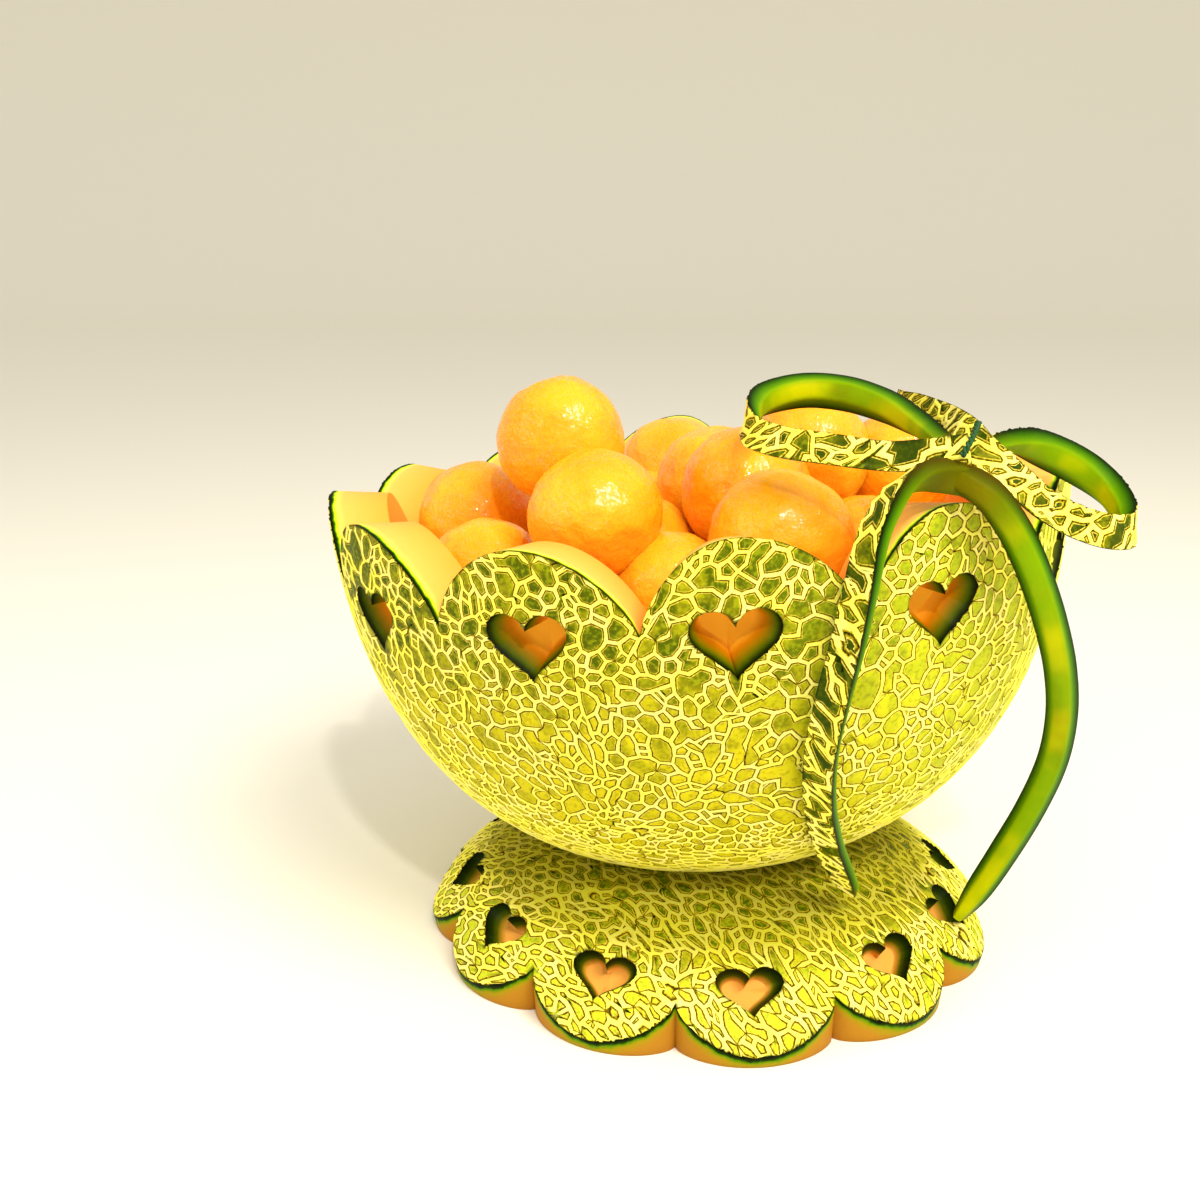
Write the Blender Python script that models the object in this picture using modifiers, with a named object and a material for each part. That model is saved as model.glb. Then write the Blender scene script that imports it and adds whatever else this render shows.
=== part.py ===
"""Carved cantaloupe: a scalloped melon bowl of melon balls on a scalloped foot, with a rind bow.

Units are metres and +Z is up. The origin is the middle of the foot's flat underside, which
stands on the table, and -Y is the front. An azimuth is counted from the front towards +X.
"""
import math
import random

import bmesh
import bpy
from mathutils import Matrix, Vector

MM = 0.001
GAP = 0.3 * MM

# The whole melon, a squarish oval turned about its stem axis. Heights are from its middle.
MELON_RADIUS = 85.0 * MM
MELON_HALF_HEIGHT = 100.8 * MM
MELON_SQUARENESS = 2.45
WALL = 13.0 * MM

# The bowl is the melon's lower part. It leans, so that its right side stands higher.
BOWL_CENTRE = Vector((-6.0, 12.4, 117.4)) * MM
BOWL_LEAN = math.radians(-4.64)
BOWL_PLACE = Matrix.Translation(BOWL_CENTRE) @ Matrix.Rotation(BOWL_LEAN, 4, "Y")
SCALLOPS = 12
PETAL_TIP = -8.7 * MM
PETAL_VALLEY = -26.1 * MM
PETAL_ROUNDNESS = 0.75
FIRST_PETAL = -54.35
PETAL_TURN = (0.9, 1.7, -0.4, -2.2, 0.5, 1.2, -1.4, -0.6, -3.4, 0.4, -1.0, 0.4)
PETAL_RISE = (0.6, -1.0, 0.0, 0.5, -0.4, 0.8, -0.7, 0.3, 2.3, -0.5, 0.2, 1.3)
VALLEY_LEAN = 1.7
PETAL_SLOPE = (7.0, 5.0, 11.0, 6.0, 8.0, 9.0, 7.0, 8.0, 7.0, 9.0, 8.0, 7.0)
VALLEY_SLOPE = 3.5
KNIFE_INNER = 55.0 * MM
BOWL_HEART = {"width": 20.0 * MM, "height": 16.2 * MM, "depth": 5.0 * MM}
BOWL_HEART_HEIGHT = -28.0 * MM

# The foot is a cap cut from the same melon's end: an ellipsoid sunk a little below the table.
FOOT_RADIUS = 69.0 * MM
FOOT_DOME = 32.0 * MM
FOOT_SUNK = 4.5 * MM
FOOT_TIP = 67.6 * MM
FOOT_VALLEY = 61.4 * MM
FOOT_ROUNDNESS = 0.7
FOOT_DRAFT = 0.8 * MM
FIRST_SCALLOP = -81.75
SCALLOP_TURN = (1.2, -0.9, 0.3, 0.6, 3.0, 1.6, -4.0, -0.8, 1.1, -0.5, 0.9, -1.2)
FOOT_HEART = {"width": 16.8 * MM, "height": 12.4 * MM, "depth": 3.6 * MM}
FOOT_HEART_RADIUS = 58.6 * MM

# Melon balls, cut with a 28 mm scoop. Those on the front stand where the photograph has them,
# and those behind them fill the gaps that the rings leave.
BALL_RADIUS = 14.0 * MM
FRONT_BALLS = (
    ((-33.6, -12.4, 117.8), 14.1),
    ((-25.0, -31.0, 104.9), 13.7),
    ((13.3, -33.9, 100.0), 15.0),
    ((6.9, -8.8, 106.2), 14.6),
    ((0.4, 20.1, 103.5), 13.9),
    ((-10.1, 56.4, 101.4), 13.4),
    ((-55.6, 5.6, 96.4), 13.8),
    ((-49.3, -19.5, 88.3), 13.4),
    ((-8.4, -32.4, 87.9), 13.3),
    ((22.8, 12.0, 111.2), 14.2),
    ((44.2, 20.0, 107.0), 14.0),
    ((33.5, -9.9, 91.2), 13.8),
)
BALLS_BEHIND = (
    ((-30.8, 12.9, 88.9), 13.4),
    ((-16.3, 35.4, 89.8), 13.7),
    ((-17.0, -9.8, 92.2), 13.7),
    ((49.2, 8.0, 86.6), 13.2),
)
FILL_RINGS = ((52.5, 12, -31.0), (32.0, 7, -23.5), (0.0, 1, -19.5))
RING_UNEVEN = 1.6 * MM
BALL_CLOSENESS = 0.86
BALL_SEGMENTS = 13
BALL_RINGS = 8
CORE_TOP = 92.0 * MM
CORE_RIM = 80.0 * MM
CORE_GAP = 0.6 * MM

# The bow: strips of rind with the net on their outer face.
STRIP_THICKNESS = 2.7 * MM
LOOP_WIDTH = 6.6 * MM
TAIL_WIDTH = 6.1 * MM
THIN_FLESH = 0.55
FULL_FLESH = 0.9
ROUTE_STEPS = 3

# A strip's flesh side is narrower than its netted side, by one of the two shares above.
# Each station is a place in mm, the way its netted face looks, and its share of the full width.
LOOP_LEFT = (
    ((42.0, -57.6, 122.4), (0.1, -0.95, 0.3), 0.85),
    ((36.8, -56.4, 121.3), (0.0, -0.9, 0.4), 0.9),
    ((30.2, -54.0, 120.5), (-0.1, -0.85, 0.5), 0.9),
    ((20.4, -49.4, 121.1), (-0.2, -0.83, 0.5), 0.95),
    ((11.6, -44.6, 121.9), (-0.4, -0.78, 0.45), 0.95),
    ((7.2, -38.0, 123.4), (-0.85, -0.4, 0.3), 0.95),
    ((7.2, -31.0, 126.2), (-0.95, 0.15, 0.1), 1.0),
    ((10.6, -24.0, 128.2), (-0.7, 0.65, -0.05), 1.05),
    ((18.2, -19.6, 129.6), (-0.1, 0.97, -0.15), 1.1),
    ((26.4, -21.6, 129.2), (0.3, 0.93, -0.2), 1.1),
    ((33.2, -29.3, 127.4), (0.55, 0.8, -0.15), 1.0),
    ((37.0, -38.0, 125.4), (0.7, 0.66, 0.0), 0.85),
    ((39.4, -46.6, 123.9), (0.82, 0.55, 0.1), 0.7),
    ((40.8, -52.4, 122.9), (0.85, 0.5, 0.1), 0.5),
)
LOOP_RIGHT = (
    ((38.4, -24.5, 127.4), (-0.85, -0.45, 0.25), 0.7),
    ((40.4, -30.5, 127.0), (-0.85, -0.45, 0.25), 0.85),
    ((42.3, -37.0, 126.5), (-0.85, -0.45, 0.25), 0.9),
    ((44.0, -44.0, 126.0), (-0.8, -0.5, 0.3), 0.9),
    ((45.3, -50.8, 125.1), (-0.7, -0.65, 0.3), 0.9),
    ((46.2, -56.2, 122.6), (-0.2, -0.85, 0.45), 0.95),
    ((49.2, -58.0, 119.8), (0.05, -0.85, 0.5), 1.0),
    ((53.4, -58.4, 116.2), (0.2, -0.82, 0.5), 1.0),
    ((58.4, -57.9, 112.2), (0.3, -0.82, 0.45), 1.0),
    ((64.6, -56.4, 109.1), (0.25, -0.85, 0.4), 1.0),
    ((71.4, -53.0, 107.0), (0.25, -0.85, 0.3), 1.0),
    ((76.6, -47.6, 106.6), (0.8, -0.5, 0.1), 1.0),
    ((77.6, -41.4, 108.6), (0.95, 0.2, 0.0), 1.05),
    ((75.6, -36.0, 112.2), (0.7, 0.7, 0.1), 1.1),
    ((70.6, -34.2, 116.2), (0.3, 0.95, 0.0), 1.15),
    ((64.0, -36.4, 119.4), (0.0, 0.98, 0.15), 1.1),
    ((57.4, -41.0, 121.6), (-0.3, 0.75, 0.6), 0.9),
    ((51.8, -46.2, 122.4), (-0.4, 0.4, 0.8), 0.6),
    ((49.0, -50.2, 121.8), (-0.4, 0.4, 0.8), 0.35),
)
TAIL_LEFT = (
    ((40.6, -61.3, 118.2), (0.1, 0.95, 0.1), 0.95),
    ((38.3, -62.4, 118.7), (0.0, 0.9, 0.4), 1.0),
    ((34.9, -64.2, 118.8), (-0.15, 0.7, 0.7), 1.0),
    ((31.4, -66.8, 117.4), (-0.5, 0.2, 0.85), 1.0),
    ((28.6, -69.4, 114.2), (-0.7, -0.2, 0.65), 1.0),
    ((26.3, -71.4, 109.4), (-0.78, -0.45, 0.3), 1.0),
    ((24.5, -72.6, 100.6), (-0.75, -0.7, 0.0), 1.0),
    ((22.8, -72.8, 90.8), (-0.65, -0.78, 0.0), 1.0),
    ((20.8, -71.4, 79.8), (-0.55, -0.85, -0.1), 1.0),
    ((19.6, -67.8, 68.2), (-0.5, -0.85, -0.2), 1.0),
    ((20.4, -61.8, 56.2), (-0.5, -0.8, -0.3), 1.0),
    ((23.2, -53.0, 44.0), (-0.5, -0.75, -0.4), 1.0),
    ((26.8, -44.4, 33.8), (-0.5, -0.7, -0.4), 0.9),
    ((30.4, -38.0, 25.4), (-0.5, -0.7, -0.4), 0.55),
)
TAIL_RIGHT = (
    ((42.3, -61.3, 117.9), (0.1, 0.97, 0.0), 0.95),
    ((44.4, -62.6, 117.0), (0.1, 0.97, 0.2), 1.0),
    ((47.6, -63.4, 114.7), (0.05, 0.96, 0.3), 1.0),
    ((50.8, -63.4, 110.8), (0.05, 0.96, 0.3), 1.0),
    ((53.8, -62.6, 106.2), (0.05, 0.95, 0.3), 1.0),
    ((57.4, -60.8, 99.4), (0.05, 0.95, 0.3), 1.0),
    ((61.4, -57.8, 90.4), (0.1, 0.92, 0.35), 1.0),
    ((65.4, -52.8, 79.6), (0.2, 0.88, 0.42), 1.0),
    ((67.9, -47.8, 68.4), (0.3, 0.84, 0.46), 1.0),
    ((68.5, -42.4, 56.6), (0.38, 0.86, 0.35), 1.0),
    ((66.6, -36.8, 43.8), (0.42, 0.88, 0.2), 1.0),
    ((63.0, -31.4, 30.4), (0.44, 0.89, 0.1), 1.0),
    ((59.2, -28.4, 20.2), (0.44, 0.85, 0.0), 0.9),
    ((56.0, -27.2, 13.6), (0.44, 0.85, 0.0), 0.5),
)
TIE_RADIUS = 0.6 * MM
TIE_ROUTE = ((46.0, -55.6, 127.4), (45.0, -58.2, 126.4), (43.6, -60.8, 124.6), (42.2, -62.0, 122.3))

MELON_SEGMENTS = 60
SHELL_ROWS = 11
HEART_POINTS = 22
CUT_SEGMENTS = 120
CUTTER_REACH = 120.0 * MM
PROUD = 8.0 * MM


def empty_the_scene():
    for thing in list(bpy.data.objects):
        bpy.data.objects.remove(thing, do_unlink=True)


def make_collection(name):
    collection = bpy.data.collections.new(name)
    bpy.context.scene.collection.children.link(collection)
    return collection


def make_material(name, colour, roughness):
    material = bpy.data.materials.new(name)
    material.use_nodes = True
    shader = material.node_tree.nodes["Principled BSDF"]
    shader.inputs["Base Color"].default_value = (*colour, 1.0)
    shader.inputs["Roughness"].default_value = roughness
    shader.inputs["Metallic"].default_value = 0.0
    return material


def mesh_object(name, shape, collection, material=None):
    """Turn a bmesh into a named object and free it."""
    bmesh.ops.recalc_face_normals(shape, faces=shape.faces)
    mesh = bpy.data.meshes.new(name)
    shape.to_mesh(mesh)
    shape.free()
    thing = bpy.data.objects.new(name, mesh)
    collection.objects.link(thing)
    if material:
        mesh.materials.append(material)
    return thing


def finish_object(thing):
    """Apply the object's modifiers, weld what they leave, and shade it."""
    evaluated = thing.evaluated_get(bpy.context.evaluated_depsgraph_get())
    mesh = bpy.data.meshes.new_from_object(evaluated)
    shape = bmesh.new()
    shape.from_mesh(mesh)
    bmesh.ops.remove_doubles(shape, verts=shape.verts, dist=0.01 * MM)
    bmesh.ops.dissolve_degenerate(shape, edges=shape.edges, dist=0.01 * MM)
    shape.to_mesh(mesh)
    shape.free()
    thing.modifiers.clear()
    thing.data = mesh
    mesh.shade_smooth()
    mesh.set_sharp_from_angle(angle=math.radians(35))


def cut(thing, cutter, operation="DIFFERENCE"):
    cutter.hide_render = True
    cutter.display_type = "WIRE"
    boolean = thing.modifiers.new(cutter.name, "BOOLEAN")
    boolean.operation = operation
    boolean.solver = "EXACT"
    boolean.object = cutter


def turned(name, profile, collection, segments):
    """A solid turned about Z from a closed outline of (radius, height) points."""
    mesh = bpy.data.meshes.new(name)
    edges = [(i, (i + 1) % len(profile)) for i in range(len(profile))]
    mesh.from_pydata([(radius, 0.0, height) for radius, height in profile], edges, [])
    thing = bpy.data.objects.new(name, mesh)
    collection.objects.link(thing)
    screw = thing.modifiers.new("turn", "SCREW")
    screw.steps = screw.render_steps = segments
    screw.use_merge_vertices = True
    screw.merge_threshold = 0.01 * MM
    bpy.context.view_layer.update()
    finish_object(thing)
    return thing


def melon_radius(height, inset=0.0):
    """The melon's radius at a height from its middle, on a skin moved in by inset."""
    share = min(abs(height) / (MELON_HALF_HEIGHT - inset), 1.0) ** MELON_SQUARENESS
    return (MELON_RADIUS - inset) * (1.0 - share) ** (1.0 / MELON_SQUARENESS)


def melon_arc(inset, rows, top=0.0):
    """Points down the melon's side from height top to its lower pole, on the axis."""
    depth = MELON_HALF_HEIGHT - inset
    start = math.asin(min(abs(top) / depth, 1.0) ** (MELON_SQUARENESS / 2.0))
    points = []
    for row in range(rows + 1):
        angle = start + (math.pi / 2 - start) * row / rows
        height = -depth * math.sin(angle) ** (2.0 / MELON_SQUARENESS)
        points.append((melon_radius(height, inset) if row < rows else 0.0, height))
    return points


def skin_frame(radius, height, slope_out, slope_up, azimuth):
    """A frame on a turned skin: X to the right seen from outside, Y up the slope, Z outwards."""
    out = Vector((math.sin(azimuth), -math.cos(azimuth), 0.0))
    normal = (out * slope_out + Vector((0, 0, slope_up))).normalized()
    side = Vector((math.cos(azimuth), math.sin(azimuth), 0.0))
    up = normal.cross(side)
    frame = Matrix((side, up, normal)).transposed().to_4x4()
    frame.translation = out * radius + Vector((0, 0, height))
    return frame


def heart_cutter(name, frame, size, collection):
    """A heart-shaped punch that reaches size["depth"] below the frame's plane."""
    shape = bmesh.new()
    bmesh.ops.create_circle(shape, cap_ends=True, radius=1.0, segments=HEART_POINTS)
    shape.verts.ensure_lookup_table()
    for index, vert in enumerate(shape.verts):
        turn = 2.0 * math.pi * index / HEART_POINTS
        across = math.sin(turn) ** 3 / 2.0
        along = (13 * math.cos(turn) - 5 * math.cos(2 * turn) - 2 * math.cos(3 * turn)
                 - math.cos(4 * turn)) / 29.0
        vert.co = (across * size["width"], along * size["height"], -size["depth"])
    face = bmesh.ops.extrude_face_region(shape, geom=shape.faces[:])
    top = [item for item in face["geom"] if isinstance(item, bmesh.types.BMVert)]
    bmesh.ops.translate(shape, verts=top, vec=(0, 0, size["depth"] + PROUD))
    bmesh.ops.transform(shape, verts=shape.verts, matrix=frame)
    return mesh_object(name, shape, collection)


def lobe_centres(first, turns):
    return [math.radians(first + 360.0 / SCALLOPS * i + turn) for i, turn in enumerate(turns)]


def lobe_share(azimuth, centres, lean, roundness):
    """Which lobe an azimuth is in, and how far up its rounded edge, from 0 to 1."""
    full = 2.0 * math.pi
    for index, centre in enumerate(centres):
        after = centres[(index + 1) % SCALLOPS]
        before = centres[index - 1]
        half_after = ((after - centre) % full) / 2.0 + lean
        half_before = ((centre - before) % full) / 2.0 - lean
        offset = (azimuth - centre + math.pi) % full - math.pi
        share = offset / half_after if offset > 0 else -offset / half_before
        if share <= 1.0:
            return index, (1.0 - share * share) ** roundness
    return 0, 0.0


def rim_height(azimuth, centres):
    index, share = lobe_share(azimuth, centres, math.radians(VALLEY_LEAN), PETAL_ROUNDNESS)
    tip = PETAL_TIP + PETAL_RISE[index] * MM
    return PETAL_VALLEY + (tip - PETAL_VALLEY) * share


def lobe_azimuths(centres, lean):
    """Cut azimuths that fall on every valley, with equal steps between two valleys."""
    full = 2.0 * math.pi
    steps = CUT_SEGMENTS // SCALLOPS
    azimuths = []
    for index, centre in enumerate(centres):
        start = centre - ((centre - centres[index - 1]) % full) / 2.0 + lean
        width = ((centres[(index + 1) % SCALLOPS] - centre) % full) / 2.0 + lean + centre - start
        azimuths += [start + width * step / steps for step in range(steps)]
    return azimuths


def rim_slope(azimuth, centres):
    """How steeply the cut face falls inwards, in radians."""
    index, share = lobe_share(azimuth, centres, math.radians(VALLEY_LEAN), PETAL_ROUNDNESS)
    return math.radians(VALLEY_SLOPE + (PETAL_SLOPE[index] - VALLEY_SLOPE) * share)


def rim_cutter(centres, collection):
    """Everything above the petals' edge; the knife points at the axis and falls inwards."""
    shape = bmesh.new()
    bmesh.ops.create_cone(shape, cap_ends=True, cap_tris=True, segments=CUT_SEGMENTS,
                          radius1=CUTTER_REACH, radius2=CUTTER_REACH, depth=2.0)
    fan = [face for face in shape.faces if all(v.co.z < 0 for v in face.verts)]
    bmesh.ops.inset_region(shape, faces=fan, thickness=CUTTER_REACH - KNIFE_INNER)
    azimuths = sorted((a + math.pi) % (2 * math.pi) - math.pi
                      for a in lobe_azimuths(centres, math.radians(VALLEY_LEAN)))
    for reach in (CUTTER_REACH, KNIFE_INNER):
        ring = [v for v in shape.verts if v.co.z < 0 and abs(v.co.xy.length - reach) < 2.0 * MM]
        ring.sort(key=lambda v: math.atan2(v.co.x, -v.co.y))
        for vert, azimuth in zip(ring, azimuths):
            edge = rim_height(azimuth, centres)
            rise = (reach - melon_radius(edge)) * math.tan(rim_slope(azimuth, centres))
            vert.co = (reach * math.sin(azimuth), -reach * math.cos(azimuth), edge + rise)
    for vert in shape.verts:
        if vert.co.z < -0.5:
            vert.co.z = PETAL_VALLEY - WALL
        elif vert.co.z > 0.5:
            vert.co.z = CUTTER_REACH
    return mesh_object("rim_cutter", shape, collection)


def make_bowl(collection, cutters, material):
    """The carved melon: a wall of even thickness, scalloped, with a heart sunk in each petal."""
    outer = melon_arc(0.0, SHELL_ROWS)
    inner = melon_arc(WALL, SHELL_ROWS - 2)
    bowl = turned("bowl", outer + inner[::-1], collection, MELON_SEGMENTS)
    centres = lobe_centres(FIRST_PETAL, PETAL_TURN)
    pieces = [rim_cutter(centres, cutters)]
    power = MELON_SQUARENESS - 1.0
    radius = melon_radius(BOWL_HEART_HEIGHT)
    slope_out = radius ** power / MELON_RADIUS ** MELON_SQUARENESS
    slope_up = -abs(BOWL_HEART_HEIGHT) ** power / MELON_HALF_HEIGHT ** MELON_SQUARENESS
    for index, centre in enumerate(centres):
        frame = skin_frame(radius, BOWL_HEART_HEIGHT, slope_out, slope_up, centre)
        pieces.append(heart_cutter(f"petal_heart_{index + 1:02d}", frame, BOWL_HEART, cutters))
    for thing in [bowl] + pieces:
        thing.matrix_world = BOWL_PLACE
    for piece in pieces:
        cut(bowl, piece)
    bpy.context.view_layer.update()
    finish_object(bowl)
    bowl.data.materials.append(material)
    return bowl


def dome_height(radius):
    return FOOT_DOME * math.sqrt(max(1.0 - (radius / FOOT_RADIUS) ** 2, 0.0)) - FOOT_SUNK


def foot_blank(collection):
    edge = FOOT_RADIUS * math.sqrt(1.0 - (FOOT_SUNK / FOOT_DOME) ** 2)
    profile = [(0.0, 0.0), (0.0, dome_height(0.0))]
    for row in range(1, SHELL_ROWS):
        radius = edge * math.sin(math.pi / 2 * row / SHELL_ROWS)
        profile.append((radius, dome_height(radius)))
    profile.append((edge, 0.0))
    return turned("foot", profile, collection, MELON_SEGMENTS)


def foot_outline(centres, collection):
    """The prism of the foot's scalloped outline, a little narrower at the table."""
    shape = bmesh.new()
    bmesh.ops.create_cone(shape, cap_ends=True, segments=CUT_SEGMENTS, radius1=CUTTER_REACH,
                          radius2=CUTTER_REACH, depth=2.0)
    azimuths = sorted((a + math.pi) % (2 * math.pi) - math.pi for a in lobe_azimuths(centres, 0.0))
    for low in (True, False):
        ring = [v for v in shape.verts if (v.co.z < 0) == low]
        ring.sort(key=lambda v: math.atan2(v.co.x, -v.co.y))
        for vert, azimuth in zip(ring, azimuths):
            share = lobe_share(azimuth, centres, 0.0, FOOT_ROUNDNESS)[1]
            radius = FOOT_VALLEY + (FOOT_TIP - FOOT_VALLEY) * share - (FOOT_DRAFT if low else 0.0)
            height = -FOOT_SUNK if low else 2.0 * FOOT_DOME
            vert.co = (radius * math.sin(azimuth), -radius * math.cos(azimuth), height)
    return mesh_object("foot_outline", shape, collection)


def make_foot(collection, cutters, material):
    """The melon's end cap, scalloped, with hearts and a dished seat that the bowl stands in."""
    foot = foot_blank(collection)
    centres = lobe_centres(FIRST_SCALLOP, SCALLOP_TURN)
    cut(foot, foot_outline(centres, cutters), "INTERSECT")
    seat = turned("foot_seat", melon_arc(-GAP, SHELL_ROWS) + [(0.0, 0.0)], cutters, MELON_SEGMENTS)
    seat.matrix_world = BOWL_PLACE
    cut(foot, seat)
    height = dome_height(FOOT_HEART_RADIUS)
    slope_out = FOOT_HEART_RADIUS / FOOT_RADIUS ** 2
    slope_up = (height + FOOT_SUNK) / FOOT_DOME ** 2
    for index, centre in enumerate(centres):
        frame = skin_frame(FOOT_HEART_RADIUS, height, slope_out, slope_up, centre)
        cut(foot, heart_cutter(f"foot_heart_{index + 1:02d}", frame, FOOT_HEART, cutters))
    bpy.context.view_layer.update()
    finish_object(foot)
    foot.data.materials.append(material)
    return foot


def ball_places():
    """Centre and radius of every ball that shows: those placed one by one, and rings of them."""
    draw = random.Random(7)
    balls = [(Vector(place) * MM, radius * MM) for place, radius in FRONT_BALLS]
    for ring, count, height in FILL_RINGS:
        for index in range(count):
            azimuth = 2.0 * math.pi * (index + 0.5) / count
            place = Vector((ring * math.sin(azimuth), -ring * math.cos(azimuth), height)) * MM
            place += Vector([draw.uniform(-RING_UNEVEN, RING_UNEVEN) for _ in range(3)])
            place = BOWL_PLACE @ place
            radius = BALL_RADIUS * draw.uniform(0.95, 1.04)
            near = min((place - other).length / (radius + size) for other, size in balls)
            if near > BALL_CLOSENESS:
                balls.append((place, radius))
    balls += [(Vector(place) * MM, radius * MM) for place, radius in BALLS_BEHIND]
    return balls


def make_balls(collection, material):
    """The heap: one core that fills the hollow, with the balls that show fused on top."""
    inner = melon_arc(WALL + CORE_GAP, SHELL_ROWS - 2, CORE_RIM - BOWL_CENTRE.z)
    profile = inner + [(0.0, CORE_TOP - BOWL_CENTRE.z)]
    core = turned("melon_balls", profile, collection, MELON_SEGMENTS // 2)
    core.matrix_world = BOWL_PLACE
    loose = make_collection("loose_balls")
    for index, (place, radius) in enumerate(ball_places()):
        shape = bmesh.new()
        bmesh.ops.create_uvsphere(shape, u_segments=BALL_SEGMENTS, v_segments=BALL_RINGS,
                                  radius=radius)
        ball = mesh_object(f"ball_{index:02d}", shape, loose)
        ball.location = place
        ball.rotation_euler = (0.7 * index, 1.1 * index, 0.4 * index)
    union = core.modifiers.new("fused", "BOOLEAN")
    union.operation = "UNION"
    union.operand_type = "COLLECTION"
    union.collection = loose
    union.solver = "EXACT"
    bpy.context.view_layer.update()
    finish_object(core)
    core.data.materials.append(material)
    for ball in list(loose.objects):
        bpy.data.objects.remove(ball, do_unlink=True)
    bpy.data.collections.remove(loose)
    return core


def spline_value(values, position):
    """A smooth curve through the values (Catmull-Rom), at a position counted in stations."""
    index = min(int(position), len(values) - 2)
    t = position - index
    before = values[max(index - 1, 0)]
    start, end = values[index], values[index + 1]
    after = values[min(index + 2, len(values) - 1)]
    return 0.5 * (2 * start + (end - before) * t + (2 * before - 5 * start + 4 * end - after) * t * t
                  + (3 * start - before - 3 * end + after) * t ** 3)


def make_strip(name, stations, width, flesh_share, collection, material):
    """A strip of rind: its flat section is extruded from station to station along the route."""
    centres = [Vector(place) * MM for place, _, _ in stations]
    looks = [Vector(look).normalized() for _, look, _ in stations]
    shares = [share for _, _, share in stations]
    count = (len(stations) - 1) * ROUTE_STEPS
    sections = []
    for step in range(count + 1):
        position = step / ROUTE_STEPS
        centre = spline_value(centres, position)
        ahead = spline_value(centres, min(position + 0.05, len(stations) - 1))
        behind = spline_value(centres, max(position - 0.05, 0))
        run = (ahead - behind).normalized()
        look = spline_value(looks, position)
        look = (look - run * look.dot(run)).normalized()
        side = run.cross(look)
        half = width * spline_value(shares, position) / 2.0
        sections.append([centre + side * half * a + look * STRIP_THICKNESS / 2.0 * b
                         for a, b in ((-flesh_share, -1), (flesh_share, -1), (1, 1), (-1, 1))])
    shape = bmesh.new()
    ring = [shape.verts.new(point) for point in sections[0]]
    face = shape.faces.new(ring)
    for section in sections[1:]:
        grown = bmesh.ops.extrude_face_region(shape, geom=[face])
        new_face = next(item for item in grown["geom"] if isinstance(item, bmesh.types.BMFace))
        if face.is_valid and section is not sections[1]:
            bmesh.ops.delete(shape, geom=[face], context="FACES_ONLY")
        for vert, point in zip(new_face.verts, section):
            vert.co = point
        face = new_face
    bmesh.ops.triangulate(shape, faces=shape.faces)
    return mesh_object(name, shape, collection, material)


def make_tie(collection, material):
    """The short green thread that ties the strips at the knot."""
    curve = bpy.data.curves.new("bow_tie", "CURVE")
    curve.dimensions = "3D"
    curve.bevel_depth = TIE_RADIUS
    curve.bevel_resolution = 2
    curve.use_fill_caps = True
    spline = curve.splines.new("POLY")
    spline.points.add(len(TIE_ROUTE) - 1)
    for point, place in zip(spline.points, TIE_ROUTE):
        point.co = (*(Vector(place) * MM), 1.0)
    tie = bpy.data.objects.new("bow_tie", curve)
    collection.objects.link(tie)
    curve.materials.append(material)
    return tie


def main():
    empty_the_scene()
    parts = make_collection("carved_cantaloupe")
    cutters = make_collection("cutters")
    rind = make_material("netted_rind", (0.62, 0.58, 0.24), 0.6)
    flesh = make_material("melon_flesh", (0.95, 0.55, 0.22), 0.3)
    strip = make_material("rind_strip", (0.36, 0.46, 0.08), 0.45)
    thread = make_material("green_thread", (0.02, 0.30, 0.14), 0.5)
    make_foot(parts, cutters, rind)
    make_bowl(parts, cutters, rind)
    make_balls(parts, flesh)
    make_strip("bow_loop_left", LOOP_LEFT, LOOP_WIDTH, THIN_FLESH, parts, strip)
    make_strip("bow_loop_right", LOOP_RIGHT, LOOP_WIDTH, THIN_FLESH, parts, strip)
    make_strip("bow_tail_left", TAIL_LEFT, TAIL_WIDTH, FULL_FLESH, parts, strip)
    make_strip("bow_tail_right", TAIL_RIGHT, TAIL_WIDTH, THIN_FLESH, parts, strip)
    make_tie(parts, thread)


main()
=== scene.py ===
"""Looks of the carved cantaloupe: netted rind, cut flesh, melon balls and the bow of rind strips.

Lengths are in metres unless a name ends in _MM, and +Z is up. The melon's own frame has its
origin in the melon's middle and Z along its stem. An azimuth is counted from the front towards +X.
"""

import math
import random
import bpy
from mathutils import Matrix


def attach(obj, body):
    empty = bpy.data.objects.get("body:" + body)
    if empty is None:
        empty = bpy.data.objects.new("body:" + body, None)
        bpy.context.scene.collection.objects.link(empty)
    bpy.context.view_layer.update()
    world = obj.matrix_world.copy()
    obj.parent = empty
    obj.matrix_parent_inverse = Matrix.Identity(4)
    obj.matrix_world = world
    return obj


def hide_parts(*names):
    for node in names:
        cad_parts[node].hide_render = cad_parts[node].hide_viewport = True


bl_info = {
    "name": "Carved Cantaloupe",
    "version": (1, 0, 0),
    "blender": (4, 5, 0),
    "location": "3D View > Sidebar > Cantaloupe",
    "description": "Builds a carved melon bowl of melon balls on a foot, with a bow of strips",
    "category": "Object",
}

import bmesh
import bpy
import numpy as np
from bpy.props import FloatProperty, FloatVectorProperty, IntProperty, PointerProperty
from mathutils import Matrix, Vector, noise
from mathutils.kdtree import KDTree

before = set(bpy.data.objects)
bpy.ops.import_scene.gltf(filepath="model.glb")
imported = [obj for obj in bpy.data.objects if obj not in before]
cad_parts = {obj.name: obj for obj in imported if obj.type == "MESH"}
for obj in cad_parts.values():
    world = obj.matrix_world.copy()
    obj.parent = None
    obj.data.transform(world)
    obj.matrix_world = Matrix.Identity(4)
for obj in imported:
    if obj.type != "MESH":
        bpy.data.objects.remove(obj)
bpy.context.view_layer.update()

MM = 0.001
GAP = 0.3 * MM

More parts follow.
